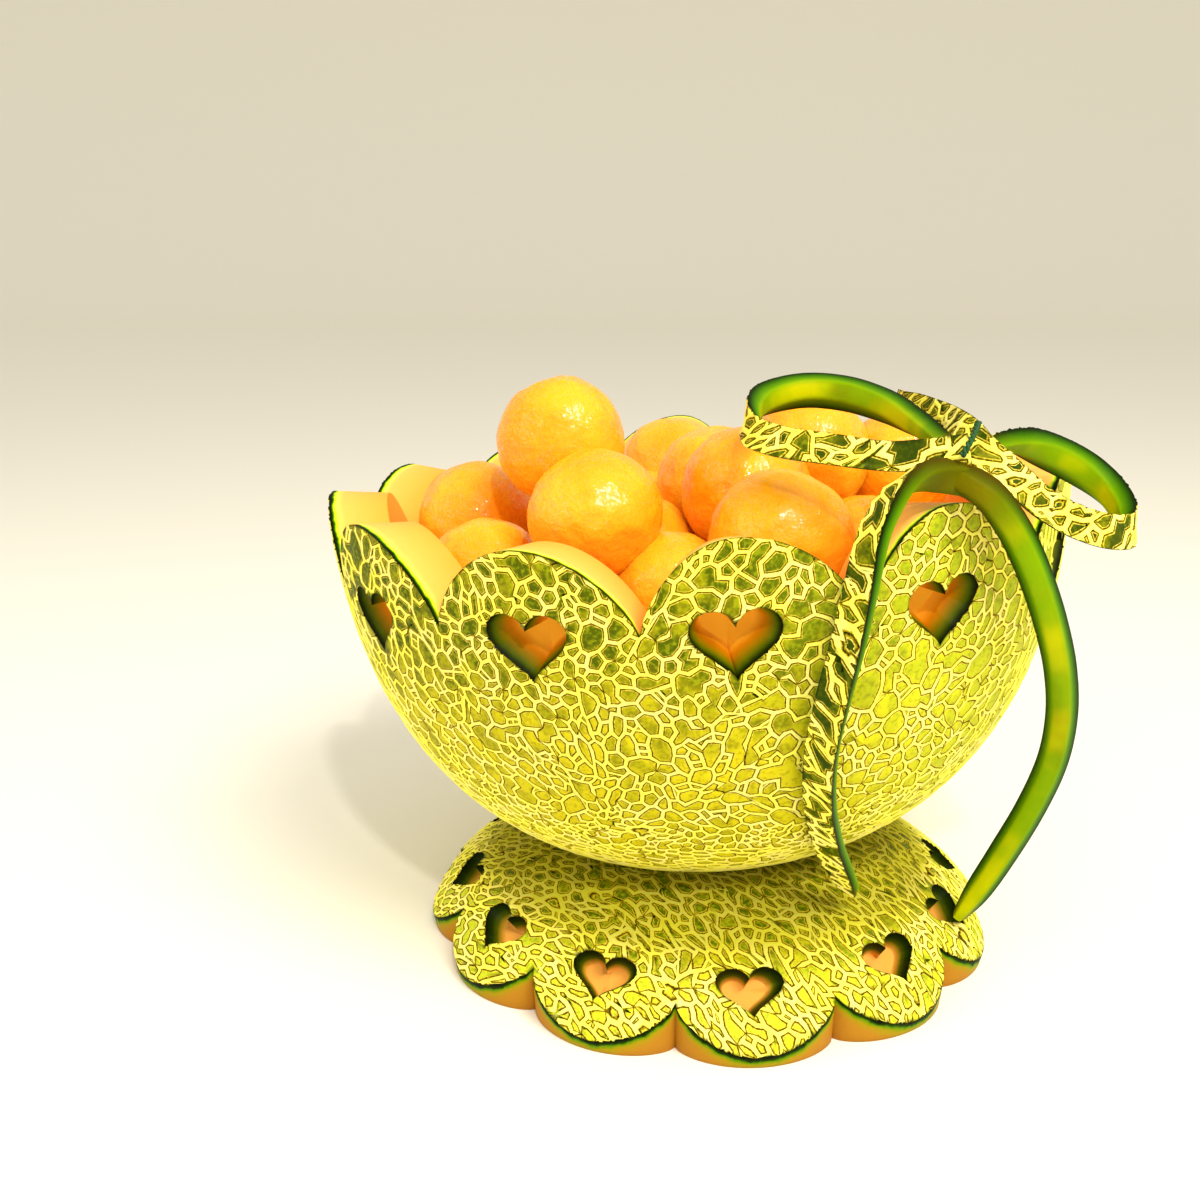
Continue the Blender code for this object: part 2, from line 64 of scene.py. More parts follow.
# The whole melon, a squarish oval turned about its stem axis. Heights are from its middle.
MELON_RADIUS = 85.0 * MM
MELON_HALF_HEIGHT = 100.8 * MM
MELON_SQUARENESS = 2.45
WALL = 13.0 * MM

BOWL_CENTRE = Vector((-6.0, 12.4, 117.4)) * MM
BOWL_LEAN = math.radians(-4.64)
BOWL_PLACE = Matrix.Translation(BOWL_CENTRE) @ Matrix.Rotation(BOWL_LEAN, 4, "Y")
SCALLOPS = 12
PETAL_TIP = -8.7 * MM
PETAL_VALLEY = -26.1 * MM
PETAL_ROUNDNESS = 0.75
VALLEY_LEAN = math.radians(1.7)
VALLEY_SLOPE = 3.5
# The first petal's azimuth. Then, for each petal, how far it is off an even turn, how much its tip
# rises in mm, and how steeply its cut face falls inwards. Turns and slopes are in degrees.
FIRST_PETAL = -54.35
PETAL_TURN = (0.9, 1.7, -0.4, -2.2, 0.5, 1.2, -1.4, -0.6, -3.4, 0.4, -1.0, 0.4)
PETAL_RISE = (0.6, -1.0, 0.0, 0.5, -0.4, 0.8, -0.7, 0.3, 2.3, -0.5, 0.2, 1.3)
PETAL_SLOPE = (7.0, 5.0, 11.0, 6.0, 8.0, 9.0, 7.0, 8.0, 7.0, 9.0, 8.0, 7.0)
# The hearts: "floor" is the share of its outline that a heart's floor has, higher up by the rise
# and to one side by each heart's lean in mm. The punch starts outside the skin.
BOWL_HEART = {"width": 20.0 * MM, "height": 16.2 * MM, "depth": 6.4 * MM, "floor": 0.5}
BOWL_HEART_HEIGHT = -28.0 * MM
HEART_LEANS = (2.0, 2.2, -1.6, -1.0, 1.4, -1.8, 0.8, -0.6, 1.8, -1.2, 0.5, -2.0)
HEART_RISE = 1.2 * MM
PUNCH_PROUD = 4.0 * MM

# The foot: an ellipsoid cap sunk a little below the table.
FOOT_RADIUS = 69.0 * MM
FOOT_DOME = 32.0 * MM
FOOT_SUNK = 4.5 * MM
FOOT_TIP = 67.6 * MM
FOOT_VALLEY = 61.4 * MM
FOOT_ROUNDNESS = 0.7
FOOT_DRAFT = 0.8 * MM
FIRST_SCALLOP = -81.75
SCALLOP_TURN = (1.2, -0.9, 0.3, 0.6, 3.0, 1.6, -4.0, -0.8, 1.1, -0.5, 0.9, -1.2)
FOOT_HEART = {"width": 16.8 * MM, "height": 12.4 * MM, "depth": 4.6 * MM, "floor": 0.55}
FOOT_HEART_RADIUS = 58.6 * MM

# Melon balls, as centre and radius in mm: the front ones stand where the photograph has them.
FRONT_BALLS = (
    ((-33.6, -12.4, 117.8), 14.1),
    ((-25.0, -31.0, 104.9), 13.7),
    ((13.3, -33.9, 100.0), 15.0),
    ((6.9, -8.8, 106.2), 14.6),
    ((0.4, 20.1, 103.5), 13.9),
    ((-10.1, 56.4, 101.4), 13.4),
    ((-55.6, 5.6, 96.4), 13.8),
    ((-49.3, -19.5, 88.3), 13.4),
    ((-8.4, -32.4, 87.9), 13.3),
    ((22.8, 12.0, 111.2), 14.2),
    ((44.2, 20.0, 107.0), 14.0),
    ((33.5, -9.9, 91.2), 13.8),
)
BALLS_BEHIND = (
    ((-30.8, 12.9, 88.9), 13.4),
    ((-16.3, 35.4, 89.8), 13.7),
    ((-17.0, -9.8, 92.2), 13.7),
    ((49.2, 8.0, 86.6), 13.2),
)
BALL_RADIUS = 14.0 * MM
# The rings that fill up the heap: radius in mm, number of balls, height from the melon's middle.
FILL_RINGS = ((52.5, 12, -31.0), (32.0, 7, -23.5), (0.0, 1, -19.5))
RING_UNEVEN = 1.6 * MM
# A ball is laid only where its centre is this far from every other, as a share of both radii.
RING_CLOSENESS = 0.86
LOOSE_CLOSENESS = 0.93
# Loose balls are tried lower and lower down in the heap.
LOOSE_TRIES = 9000
LOOSE_REACH = 55.0 * MM
HEAP_DROP = 12.0 * MM
DROP_GROWTH = 1.4
# The first balls, which show most, have a finer mesh. A ball's lumps are noise by scale and share
# of its unevenness, and the scoop shaves a little off one side.
FINE_BALLS = 26
BROAD_LUMPS = (0.06, 2.0)
SMALL_LUMPS = (0.3, 0.5)
SHAVED_FROM = 0.93
SHAVED_SHARE = 0.8
CORE_TOP = 88.0 * MM
CORE_RIM = 76.0 * MM
CORE_COLUMNS = 64

# The net: edges under the shortest are merged, and those over the longest get a bend.
SHORTEST_RIDGE = 0.75 * MM
LONG_RIDGE = 2.6 * MM
# Cells are flattened low on the bowl and drawn out on the petals, by angle from the lower pole.
NET_POLAR_FROM = np.radians((0.0, 20.0, 58.0, 92.0, 180.0))
NET_POLAR_TO = np.radians((0.0, 21.0, 44.5, 90.0, 180.0))
# The cells' middles are scattered by this share of a cell, and swept along by waves of noise,
# given as scale and reach on a sphere of radius 1. The melon has more skin than its sphere.
MELON_SCATTER = 0.47
SHEET_SCATTER = 0.4
BROAD_WAVE = (3.2, 0.035)
SMALL_WAVE = (9.0, 0.04)
MELON_OVER_SPHERE = 1.17
# The melon's net ends above the petals' tips, and a lid closes it higher up.
NET_TOP = 4.0 * MM
NET_LID = 9.0 * MM
CELLS_IN_CLUSTER = 7
# How strong ridges are at their ends, and in the bend of a long one, with the share that breaks.
MAIN_ENDS = (0.9, 1.15)
SIDE_ENDS = (0.72, 0.92)
MAIN_BEND = (0.85, 1.1, 0.0)
SIDE_BEND = (0.6, 0.85, 0.05)
BEND_REACH = 0.16
# The skin rises from a ridge's foot to its own level within this many half widths of the ridge.
CREVICE = 1.6
CELL_BULGE = 0.12 * MM
# How far a carving block stands out past the skin that it trims.
PROUD = 2.0 * MM
# Slots of the netted pieces' materials.
CORK, SKIN, FLESH, PIT = range(4)

# The bow's strips: place in mm, the way the netted face looks, share of the full width.
STRIP_THICKNESS = 2.7 * MM
LOOP_WIDTH = 6.6 * MM
TAIL_WIDTH = 6.1 * MM
# The flesh side's width, as a share of the netted side's.
THIN_FLESH = 0.55
FULL_FLESH = 0.9
# How far a strip runs on into the knot, and how often it is cut across so that it can bend.
KNOT_LAP = 2.5 * MM
BEND_STEP = 1.3 * MM
LOOP_LEFT = (
    ((42.0, -57.6, 122.4), (0.1, -0.95, 0.3), 0.85),
    ((36.8, -56.4, 121.3), (0.0, -0.9, 0.4), 0.9),
    ((30.2, -54.0, 120.5), (-0.1, -0.85, 0.5), 0.9),
    ((20.4, -49.4, 121.1), (-0.2, -0.83, 0.5), 0.95),
    ((11.6, -44.6, 121.9), (-0.4, -0.78, 0.45), 0.95),
    ((7.2, -38.0, 123.4), (-0.85, -0.4, 0.3), 0.95),
    ((7.2, -31.0, 126.2), (-0.95, 0.15, 0.1), 1.0),
    ((10.6, -24.0, 128.2), (-0.7, 0.65, -0.05), 1.05),
    ((18.2, -19.6, 129.6), (-0.1, 0.97, -0.15), 1.1),
    ((26.4, -21.6, 129.2), (0.3, 0.93, -0.2), 1.1),
    ((33.2, -29.3, 127.4), (0.55, 0.8, -0.15), 1.0),
    ((37.0, -38.0, 125.4), (0.7, 0.66, 0.0), 0.85),
    ((39.4, -46.6, 123.9), (0.82, 0.55, 0.1), 0.7),
    ((40.8, -52.4, 122.9), (0.85, 0.5, 0.1), 0.5),
)
LOOP_RIGHT = (
    ((38.4, -24.5, 127.4), (-0.85, -0.45, 0.25), 0.7),
    ((40.4, -30.5, 127.0), (-0.85, -0.45, 0.25), 0.85),
    ((42.3, -37.0, 126.5), (-0.85, -0.45, 0.25), 0.9),
    ((44.0, -44.0, 126.0), (-0.8, -0.5, 0.3), 0.9),
    ((45.3, -50.8, 125.1), (-0.7, -0.65, 0.3), 0.9),
    ((46.2, -56.2, 122.6), (-0.2, -0.85, 0.45), 0.95),
    ((49.2, -58.0, 119.8), (0.05, -0.85, 0.5), 1.0),
    ((53.4, -58.4, 116.2), (0.2, -0.82, 0.5), 1.0),
    ((58.4, -57.9, 112.2), (0.3, -0.82, 0.45), 1.0),
    ((64.6, -56.4, 109.1), (0.25, -0.85, 0.4), 1.0),
    ((71.4, -53.0, 107.0), (0.25, -0.85, 0.3), 1.0),
    ((76.6, -47.6, 106.6), (0.8, -0.5, 0.1), 1.0),
    ((77.6, -41.4, 108.6), (0.95, 0.2, 0.0), 1.05),
    ((75.6, -36.0, 112.2), (0.7, 0.7, 0.1), 1.1),
    ((70.6, -34.2, 116.2), (0.3, 0.95, 0.0), 1.15),
    ((64.0, -36.4, 119.4), (0.0, 0.98, 0.15), 1.1),
    ((57.4, -41.0, 121.6), (-0.3, 0.75, 0.6), 0.9),
    ((51.8, -46.2, 122.4), (-0.4, 0.4, 0.8), 0.6),
    ((49.0, -50.2, 121.8), (-0.4, 0.4, 0.8), 0.35),
)
TAIL_LEFT = (
    ((40.6, -61.3, 118.2), (0.1, 0.95, 0.1), 0.95),
    ((38.3, -62.4, 118.7), (0.0, 0.9, 0.4), 1.0),
    ((34.9, -64.2, 118.8), (-0.15, 0.7, 0.7), 1.0),
    ((31.4, -66.8, 117.4), (-0.5, 0.2, 0.85), 1.0),
    ((28.6, -69.4, 114.2), (-0.7, -0.2, 0.65), 1.0),
    ((26.3, -71.4, 109.4), (-0.78, -0.45, 0.3), 1.0),
    ((24.5, -72.6, 100.6), (-0.75, -0.7, 0.0), 1.0),
    ((22.8, -72.8, 90.8), (-0.65, -0.78, 0.0), 1.0),
    ((20.8, -71.4, 79.8), (-0.55, -0.85, -0.1), 1.0),
    ((19.6, -67.8, 68.2), (-0.5, -0.85, -0.2), 1.0),
    ((20.4, -61.8, 56.2), (-0.5, -0.8, -0.3), 1.0),
    ((23.2, -53.0, 44.0), (-0.5, -0.75, -0.4), 1.0),
    ((26.8, -44.4, 33.8), (-0.5, -0.7, -0.4), 0.9),
    ((30.4, -38.0, 25.4), (-0.5, -0.7, -0.4), 0.55),
)
TAIL_RIGHT = (
    ((42.3, -61.3, 117.9), (0.1, 0.97, 0.0), 0.95),
    ((44.4, -62.6, 117.0), (0.1, 0.97, 0.2), 1.0),
    ((47.6, -63.4, 114.7), (0.05, 0.96, 0.3), 1.0),
    ((50.8, -63.4, 110.8), (0.05, 0.96, 0.3), 1.0),
    ((53.8, -62.6, 106.2), (0.05, 0.95, 0.3), 1.0),
    ((57.4, -60.8, 99.4), (0.05, 0.95, 0.3), 1.0),
    ((61.4, -57.8, 90.4), (0.1, 0.92, 0.35), 1.0),
    ((65.4, -52.8, 79.6), (0.2, 0.88, 0.42), 1.0),
    ((67.9, -47.8, 68.4), (0.3, 0.84, 0.46), 1.0),
    ((68.5, -42.4, 56.6), (0.38, 0.86, 0.35), 1.0),
    ((66.6, -36.8, 43.8), (0.42, 0.88, 0.2), 1.0),
    ((63.0, -31.4, 30.4), (0.44, 0.89, 0.1), 1.0),
    ((59.2, -28.4, 20.2), (0.44, 0.85, 0.0), 0.9),
    ((56.0, -27.2, 13.6), (0.44, 0.85, 0.0), 0.5),
)
TIE_ROUTE = ((46.0, -55.6, 127.4), (45.0, -58.2, 126.4), (43.6, -60.8, 124.6),
             (42.2, -62.0, 122.3))

# The camera, fitted to the two scalloped rims in the 1200 pixel picture.
CAMERA_PLACE = Vector((-5.99, -286.04, 155.11)) * MM
CAMERA_TURN = (math.pi / 2 - 0.261, 0.003, 0.069)
CAMERA_LENS = 37.77

# The colour sockets of a mix node, by number.
MIX_A, MIX_B, MIX_RESULT = 6, 7, 2


def hex_linear(text):
    """An sRGB hex colour as linear red, green and blue."""
    parts = [int(text[i:i + 2], 16) / 255.0 for i in (1, 3, 5)]
    return tuple(p / 12.92 if p <= 0.04045 else ((p + 0.055) / 1.055) ** 2.4 for p in parts)


def add(tree, kind, inputs=None, **settings):
    """Add a node with its settings; an input is a value or another node's output socket."""
    made = tree.nodes.new(kind)
    for name, value in settings.items():
        setattr(made, name, value)
    for name, value in (inputs or {}).items():
        if isinstance(value, bpy.types.NodeSocket):
            tree.links.new(value, made.inputs[name])
        else:
            made.inputs[name].default_value = value
    return made


def math_of(tree, operation, *values, clamp=False):
    """A math node's output, from numbers or sockets."""
    return add(tree, "ShaderNodeMath", dict(enumerate(values)), operation=operation,
               use_clamp=clamp).outputs[0]


def fade(tree, value, start, end, low=0.0, high=1.0):
    """A smooth step from low to high as value goes from start to end."""
    return add(tree, "ShaderNodeMapRange",
               {"Value": value, "From Min": start, "From Max": end, "To Min": low, "To Max": high},
               interpolation_type="SMOOTHSTEP").outputs[0]


def mix(tree, share, first, second):
    """The first colour, turning into the second as share goes to 1."""
    colours = [(*c, 1.0) if isinstance(c, tuple) else c for c in (first, second)]
    return add(tree, "ShaderNodeMix", {0: share, MIX_A: colours[0], MIX_B: colours[1]},
               data_type="RGBA").outputs[MIX_RESULT]


def ramp(tree, share, stops):
    """A colour that runs through the stops, each a place from 0 to 1 and a hex colour."""
    made = add(tree, "ShaderNodeValToRGB", {"Fac": share})
    elements = made.color_ramp.elements
    while len(elements) < len(stops):
        elements.new(0.5)
    for element, (place, colour) in zip(elements, stops):
        element.position = place
        element.color = (*hex_linear(colour), 1.0)
    return made.outputs["Color"]


# ---------------------------------------------------------------- settings

def a_length(name, default, low, high, description):
    """A setting that is a length, with its values in mm."""
    return FloatProperty(name=name, default=default * MM, min=low * MM, max=high * MM,
                         unit="LENGTH", description=description)


def a_colour(name, default, description):
    """A setting that is a colour, in sRGB hex."""
    return FloatVectorProperty(name=name, size=3, subtype="COLOR", default=hex_linear(default),
                               description=description)


def a_power(name, default, description):
    """A setting that is a lamp's power in watts."""
    return FloatProperty(name=name, default=default, min=0.0, unit="POWER",
                         description=description)


class NetSettings(bpy.types.PropertyGroup):
    cell: a_length("Cell", 3.25, 1.5, 12.0, "Usual width of the net's smallest cells")
    ridge: a_length("Ridge", 0.63, 0.1, 2.0, "Half the width of a main ridge of the net")
    relief: a_length("Relief", 0.5, 0.0, 1.5, "How far a main ridge stands above the skin")
    missing: FloatProperty(name="Missing ridges", default=0.12, min=0.0, max=0.6, subtype="FACTOR",
                           description="Share of the side ridges that never grew")
    cork: a_colour("Cork", "#fff85c", "Colour of the crests of the net's ridges")
    green: a_colour("Green skin", "#505c00", "Colour of the skin in the net's green cells")
    yellow: a_colour("Yellow skin", "#d2c414", "Colour of the skin in the net's ripe cells")


class CarvingSettings(bpy.types.PropertyGroup):
    petal_columns: IntProperty(name="Petal columns", default=30, min=8, max=80,
                               description="Mesh columns across each petal or scallop")
    heart_points: IntProperty(name="Heart points", default=44, min=12, max=96,
                              description="Points round each heart")


class BallSettings(bpy.types.PropertyGroup):
    colour: a_colour("Flesh", "#ffb01e", "Colour of the melon balls")
    unevenness: a_length("Unevenness", 0.5, 0.0, 2.0, "How far a ball departs from round")
    loose_balls: IntProperty(name="Loose balls", default=40, min=0, max=80,
                             description="Most balls laid in the gaps of the heap")


class BowSettings(bpy.types.PropertyGroup):
    row_step: a_length("Row step", 0.7, 0.2, 5.0, "Distance between mesh rows along a strip")
    thread: a_colour("Thread", "#0c5814", "Colour of the thread")


class StageSettings(bpy.types.PropertyGroup):
    key_power: a_power("Key light", 6.9, "Power of the soft light above the front right")
    glint_power: a_power("Small light", 2.0, "Power of the small lamp that gives the moist glints")
    fill_power: a_power("Fill light", 1.6, "Power of the soft light at the left")


# ---------------------------------------------------------------- shapes

def melon_radius(height, inset=0.0):
    """The melon's radius at a height from its middle, on a skin moved in by inset."""
    share = np.minimum(np.abs(height) / (MELON_HALF_HEIGHT - inset), 1.0) ** MELON_SQUARENESS
    return (MELON_RADIUS - inset) * (1.0 - share) ** (1.0 / MELON_SQUARENESS)


def distance_walked(first, second):
    """The length walked along a curve up to each of its points, by their two coordinates."""
    return np.concatenate([[0.0], np.cumsum(np.hypot(np.diff(first), np.diff(second)))])


def spun(azimuths, radius, height):
    """A ring of points at the azimuths."""
    height = np.broadcast_to(height, azimuths.shape)
    return np.stack([radius * np.sin(azimuths), -radius * np.cos(azimuths), height], axis=1)


def melon_arc(inset=0.0, points=600):
    """Height, radius and arc length down the melon's side, from its middle to its lower pole."""
    angle = np.linspace(0.0, math.pi / 2, points)
    height = -(MELON_HALF_HEIGHT - inset) * np.sin(angle) ** (2.0 / MELON_SQUARENESS)
    radius = melon_radius(height, inset)
    radius[-1] = 0.0
    return height, radius, distance_walked(height, radius)


def melon_depth(points):
    """Depth below the melon's skin and the outward direction, for points in the melon's frame."""
    size = np.array((MELON_RADIUS, MELON_RADIUS, MELON_HALF_HEIGHT))
    power = MELON_SQUARENESS
    radius = np.maximum(np.hypot(points[:, 0], points[:, 1]), 1e-9)
    share = ((radius / size[0]) ** power + (np.abs(points[:, 2]) / size[2]) ** power) ** (1 / power)
    out = (radius / size[0]) ** (power - 1) / size[0]
    up = np.sign(points[:, 2]) * (np.abs(points[:, 2]) / size[2]) ** (power - 1) / size[2]
    normal = np.stack([out * points[:, 0] / radius, out * points[:, 1] / radius, up], axis=1)
    normal /= np.linalg.norm(normal, axis=1, keepdims=True)
    return (1.0 - share) / share * (points * normal).sum(axis=1), normal


def dome_height(radius):
    """Height of the foot's skin above the table, at a radius."""
    return FOOT_DOME * np.sqrt(np.maximum(1.0 - (radius / FOOT_RADIUS) ** 2, 0.0)) - FOOT_SUNK


def dome_depth(points):
    """Depth below the foot's skin and the outward direction, for points in the row frame."""
    size = np.array((FOOT_RADIUS, FOOT_RADIUS, FOOT_DOME))
    moved = points + np.array((0.0, 0.0, FOOT_SUNK))
    share = np.linalg.norm(moved / size, axis=1)
    normal = moved / size ** 2
    normal /= np.linalg.norm(normal, axis=1, keepdims=True)
    return (1.0 - share) / share * (moved * normal).sum(axis=1), normal


def lobe_centres(first, turns):
    """Azimuths of the petals' or scallops' middles."""
    return [math.radians(first + 360.0 / SCALLOPS * i + turn) for i, turn in enumerate(turns)]


def lobe_share(azimuth, centres, lean, roundness):
    """Which lobe an azimuth is in, and how far up its rounded edge, from 0 to 1."""
    full = 2.0 * math.pi
    for index, centre in enumerate(centres):
        after = centres[(index + 1) % SCALLOPS]
        before = centres[index - 1]
        half_after = ((after - centre) % full) / 2.0 + lean
        half_before = ((centre - before) % full) / 2.0 - lean
        offset = (azimuth - centre + math.pi) % full - math.pi
        share = offset / half_after if offset > 0 else -offset / half_before
        if share <= 1.0:
            return index, (1.0 - share * share) ** roundness
    return 0, 0.0


def lobe_azimuths(centres, lean, steps):
    """Azimuths that fall on every valley, and crowd towards it, where the edge is steep."""
    full = 2.0 * math.pi
    azimuths = []
    for index, centre in enumerate(centres):
        start = centre - ((centre - centres[index - 1]) % full) / 2.0 + lean
        width = ((centres[(index + 1) % SCALLOPS] - centre) % full) / 2.0 + lean + centre - start
        for step in range(steps):
            even = step / steps
            crowded = (1.0 - math.cos(math.pi * even)) / 2.0
            azimuths.append(start + width * (0.8 * even + 0.2 * crowded))
    return azimuths


def closed_skin(places):
    """A closed bmesh from places[row][column]: a spun grid whose first and last rows are points."""
    rows, columns = places.shape[:2]
    shape = bmesh.new()
    verts = [shape.verts.new((1.0 + row, 0.0, 0.0)) for row in range(rows)]
    edges = [shape.edges.new(pair) for pair in zip(verts, verts[1:])]
    bmesh.ops.spin(shape, geom=verts + edges, cent=(0, 0, 0), axis=(0, 0, 1), dvec=(0, 0, 0),
                   angle=2.0 * math.pi, steps=columns, use_merge=True, use_duplicate=False)
    for vert in shape.verts:
        row = round(vert.co.length) - 1
        column = round(math.atan2(vert.co.y, vert.co.x) / (2.0 * math.pi) * columns) % columns
        vert.co = places[row, column]
    bmesh.ops.remove_doubles(shape, verts=shape.verts, dist=0.002 * MM)
    bmesh.ops.recalc_face_normals(shape, faces=shape.faces)
    return shape


def piece_from(name, shape, materials):
    """A new object with the materials, from a bmesh that this frees."""
    mesh = bpy.data.meshes.new(name)
    shape.to_mesh(mesh)
    shape.free()
    piece = bpy.data.objects.new(name, mesh)
    bpy.context.scene.collection.objects.link(piece)
    for material in materials:
        mesh.materials.append(material)
    return piece


def apply_modifiers(piece):
    """Replaces the piece's mesh with what its modifiers make of it."""
    depsgraph = bpy.context.evaluated_depsgraph_get()
    mesh = bpy.data.meshes.new_from_object(piece.evaluated_get(depsgraph))
    piece.modifiers.clear()
    piece.data = mesh


def read(items, name, kind=np.int32, width=1):
    """One property of all the vertices, edges, corners or faces of a mesh, as an array."""
    values = np.empty(len(items) * width, kind)
    items.foreach_get(name, values)
    return values


def points_of(mesh):
    """The mesh's points, one in each row."""
    return read(mesh.vertices, "co", np.float64, 3).reshape(-1, 3)


def skin_frame(radius, height, slope_out, slope_up, azimuth):
    """A frame on a turned skin: X to the right seen from outside, Y up the slope, Z outwards."""
    out = Vector((math.sin(azimuth), -math.cos(azimuth), 0.0))
    normal = (out * slope_out + Vector((0, 0, slope_up))).normalized()
    side = Vector((math.cos(azimuth), math.sin(azimuth), 0.0))
    up = normal.cross(side)
    placed = Matrix((side, up, normal)).transposed().to_4x4()
    placed.translation = out * radius + Vector((0, 0, height))
    return placed


def add_heart(shape, placed, size, lean, draw):
    """A heart-shaped punch whose walls slope to a small floor, off its middle by lean."""
    points = bpy.context.scene.cantaloupe_carving.heart_points
    ring = bmesh.ops.create_circle(shape, cap_ends=True, radius=1.0, segments=points)["verts"]
    floor = ring[0].link_faces[0]
    flare = 1.0 + (1.0 - size["floor"]) * 0.3 * PUNCH_PROUD / size["depth"]
    outline = []
    for index in range(points):
        turn = 2.0 * math.pi * index / points
        along = (13 * math.cos(turn) - 5 * math.cos(2 * turn) - 2 * math.cos(3 * turn)
                 - math.cos(4 * turn)) / 29.0
        outline.append(Vector((math.sin(turn) ** 3 / 2.0 * size["width"],
                               along * size["height"], 0.0)))
    for vert, point in zip(ring, outline):
        vert.co = point * size["floor"] + Vector((lean * MM, HEART_RISE, -size["depth"]))
    grown = bmesh.ops.extrude_face_region(shape, geom=[floor])["geom"]
    top = [item for item in grown if isinstance(item, bmesh.types.BMVert)]
    for vert in top:
        flat = Vector((vert.co.x - lean * MM, vert.co.y - HEART_RISE, 0.0)) / size["floor"]
        vert.co = flat * flare + Vector((0, 0, PUNCH_PROUD))
    bottom = bmesh.ops.contextual_create(shape, geom=ring)["faces"]
    faces = bottom or [face for face in shape.faces if set(face.verts) == set(ring)]
    centre = bmesh.ops.poke(shape, faces=faces)["verts"][0]
    centre.co += Vector((draw.uniform(-1.5, 1.5), draw.uniform(-0.5, 2.0), -0.9)) * MM
    bmesh.ops.transform(shape, verts=ring + top + [centre], matrix=placed)


def punch_hearts(block, frames, size, seed):
    """Punches a heart into the block at each frame; its faces get the hearts' material."""
    draw = random.Random(seed)
    shape = bmesh.new()
    for placed, lean in zip(frames, HEART_LEANS):
        add_heart(shape, placed, size, lean, draw)
    bmesh.ops.recalc_face_normals(shape, faces=shape.faces)
    cutter = piece_from("hearts", shape, list(block.data.materials))
    cutter.data.polygons.foreach_set("material_index", [PIT] * len(cutter.data.polygons))
    boolean(block, cutter, "DIFFERENCE")


def write_attribute(mesh, name, kind, values):
    """Adds an attribute of the points, which materials read."""
    attribute = mesh.attributes.new(name, kind, "POINT")
    field = "value" if kind == "FLOAT" else "vector"
    attribute.data.foreach_set(field, np.asarray(values, np.float32).ravel())


def boolean(piece, cutter, operation):
    """Cuts the piece with the cutter and removes the cutter."""
    modifier = piece.modifiers.new("carve", "BOOLEAN")
    modifier.operation = operation
    modifier.solver = "MANIFOLD"
    modifier.object = cutter
    bpy.context.view_layer.update()
    apply_modifiers(piece)
    bpy.data.objects.remove(cutter, do_unlink=True)
    if not piece.data.polygons:
        raise RuntimeError(f"nothing is left of {piece.name}: a mesh wasn't closed")


# ---------------------------------------------------------------- the net of cork

def cells_of(shape):
    """The dual of a triangulated sheet: a many-sided cell round each vertex, without tiny edges."""
    sheet = piece_from("net_sheet", shape, [])
    group = bpy.data.node_groups.new("cells", "GeometryNodeTree")
    for way in ("INPUT", "OUTPUT"):
        group.interface.new_socket("Geometry", in_out=way, socket_type="NodeSocketGeometry")
    start = add(group, "NodeGroupInput")
    dual = add(group, "GeometryNodeDualMesh", {"Mesh": start.outputs[0]})
    add(group, "NodeGroupOutput", {0: dual.outputs[0]})
    sheet.modifiers.new("cells", "NODES").node_group = group
    bpy.context.view_layer.update()
    apply_modifiers(sheet)
    cells = bmesh.new()
    cells.from_mesh(sheet.data)
    bpy.data.objects.remove(sheet, do_unlink=True)
    bmesh.ops.remove_doubles(cells, verts=cells.verts, dist=SHORTEST_RIDGE)
    return cells


def grow_ridges(shape, missing, draw):
    """Picks main and side ridges; returns how strong the net is at each vertex.

    Main ridges run between clusters of cells. Of the side ridges inside a cluster some are
    missing, some break off half way, and long ones have a bend.
    """
    faces = list(shape.faces)
    seeds = draw.sample(faces, max(len(faces) // CELLS_IN_CLUSTER, 2))
    finder = KDTree(len(seeds))
    for index, face in enumerate(seeds):
        finder.insert(face.calc_center_median(), index)
    finder.balance()
    cluster = {face: finder.find(face.calc_center_median())[1] for face in faces}
    inner = [edge for edge in shape.edges if not edge.is_boundary]
    main = [edge for edge in inner if len({cluster[face] for face in edge.link_faces}) > 1]
    chosen = set(main)
    side = [edge for edge in inner if edge not in chosen]
    on_main = {vert for edge in main for vert in edge.verts}
    gone = [edge for edge in side if draw.random() < missing]
    bmesh.ops.dissolve_edges(shape, edges=gone, use_verts=False)
    strength = {vert: draw.uniform(*(MAIN_ENDS if vert in on_main else SIDE_ENDS))
                for vert in shape.verts}
    long_main = [edge for edge in main if edge.is_valid and edge.calc_length() > LONG_RIDGE]
    long_side = [edge for edge in side if edge.is_valid and edge.calc_length() > LONG_RIDGE]
    for edges, (least, most, broken) in ((long_main, MAIN_BEND), (long_side, SIDE_BEND)):
        bmesh.ops.subdivide_edges(shape, edges=edges, cuts=1)
        for vert in [item for item in shape.verts if item not in strength]:
            vert.co += Vector([draw.uniform(-BEND_REACH, BEND_REACH) for _ in range(3)]) * MM
            strength[vert] = 0.05 if draw.random() < broken else draw.uniform(least, most)
    return strength


def inward_moves(face, strength, ridge):
    """For each corner of a cell, the way from the middle of the ridge to its foot in the cell."""
    centre = face.calc_center_median()
    corners = [vert.co for vert in face.verts]
    after = corners[1:] + corners[:1]
    inward = [face.normal.cross(end - start).normalized() for start, end in zip(corners, after)]
    room = min(abs((centre - start).dot(way)) for start, way in zip(corners, inward))
    room = max(room, 0.3 * math.sqrt(face.calc_area()))
    moves = []
    for index, vert in enumerate(face.verts):
        before, here = inward[index - 1], inward[index]
        width = min(ridge * max(strength[vert], 0.25), 0.6 * room)
        moves.append((before + here) * width / max(1.0 + before.dot(here), 0.35))
    ends = moves[1:] + moves[:1]
    if any((end + far - start - near).dot(end - start) < 0
           for start, end, near, far in zip(corners, after, moves, ends)):
        moves = [(centre - start) * min(0.45, ridge / room) for start in corners]
    return dict(zip(face.verts, moves))


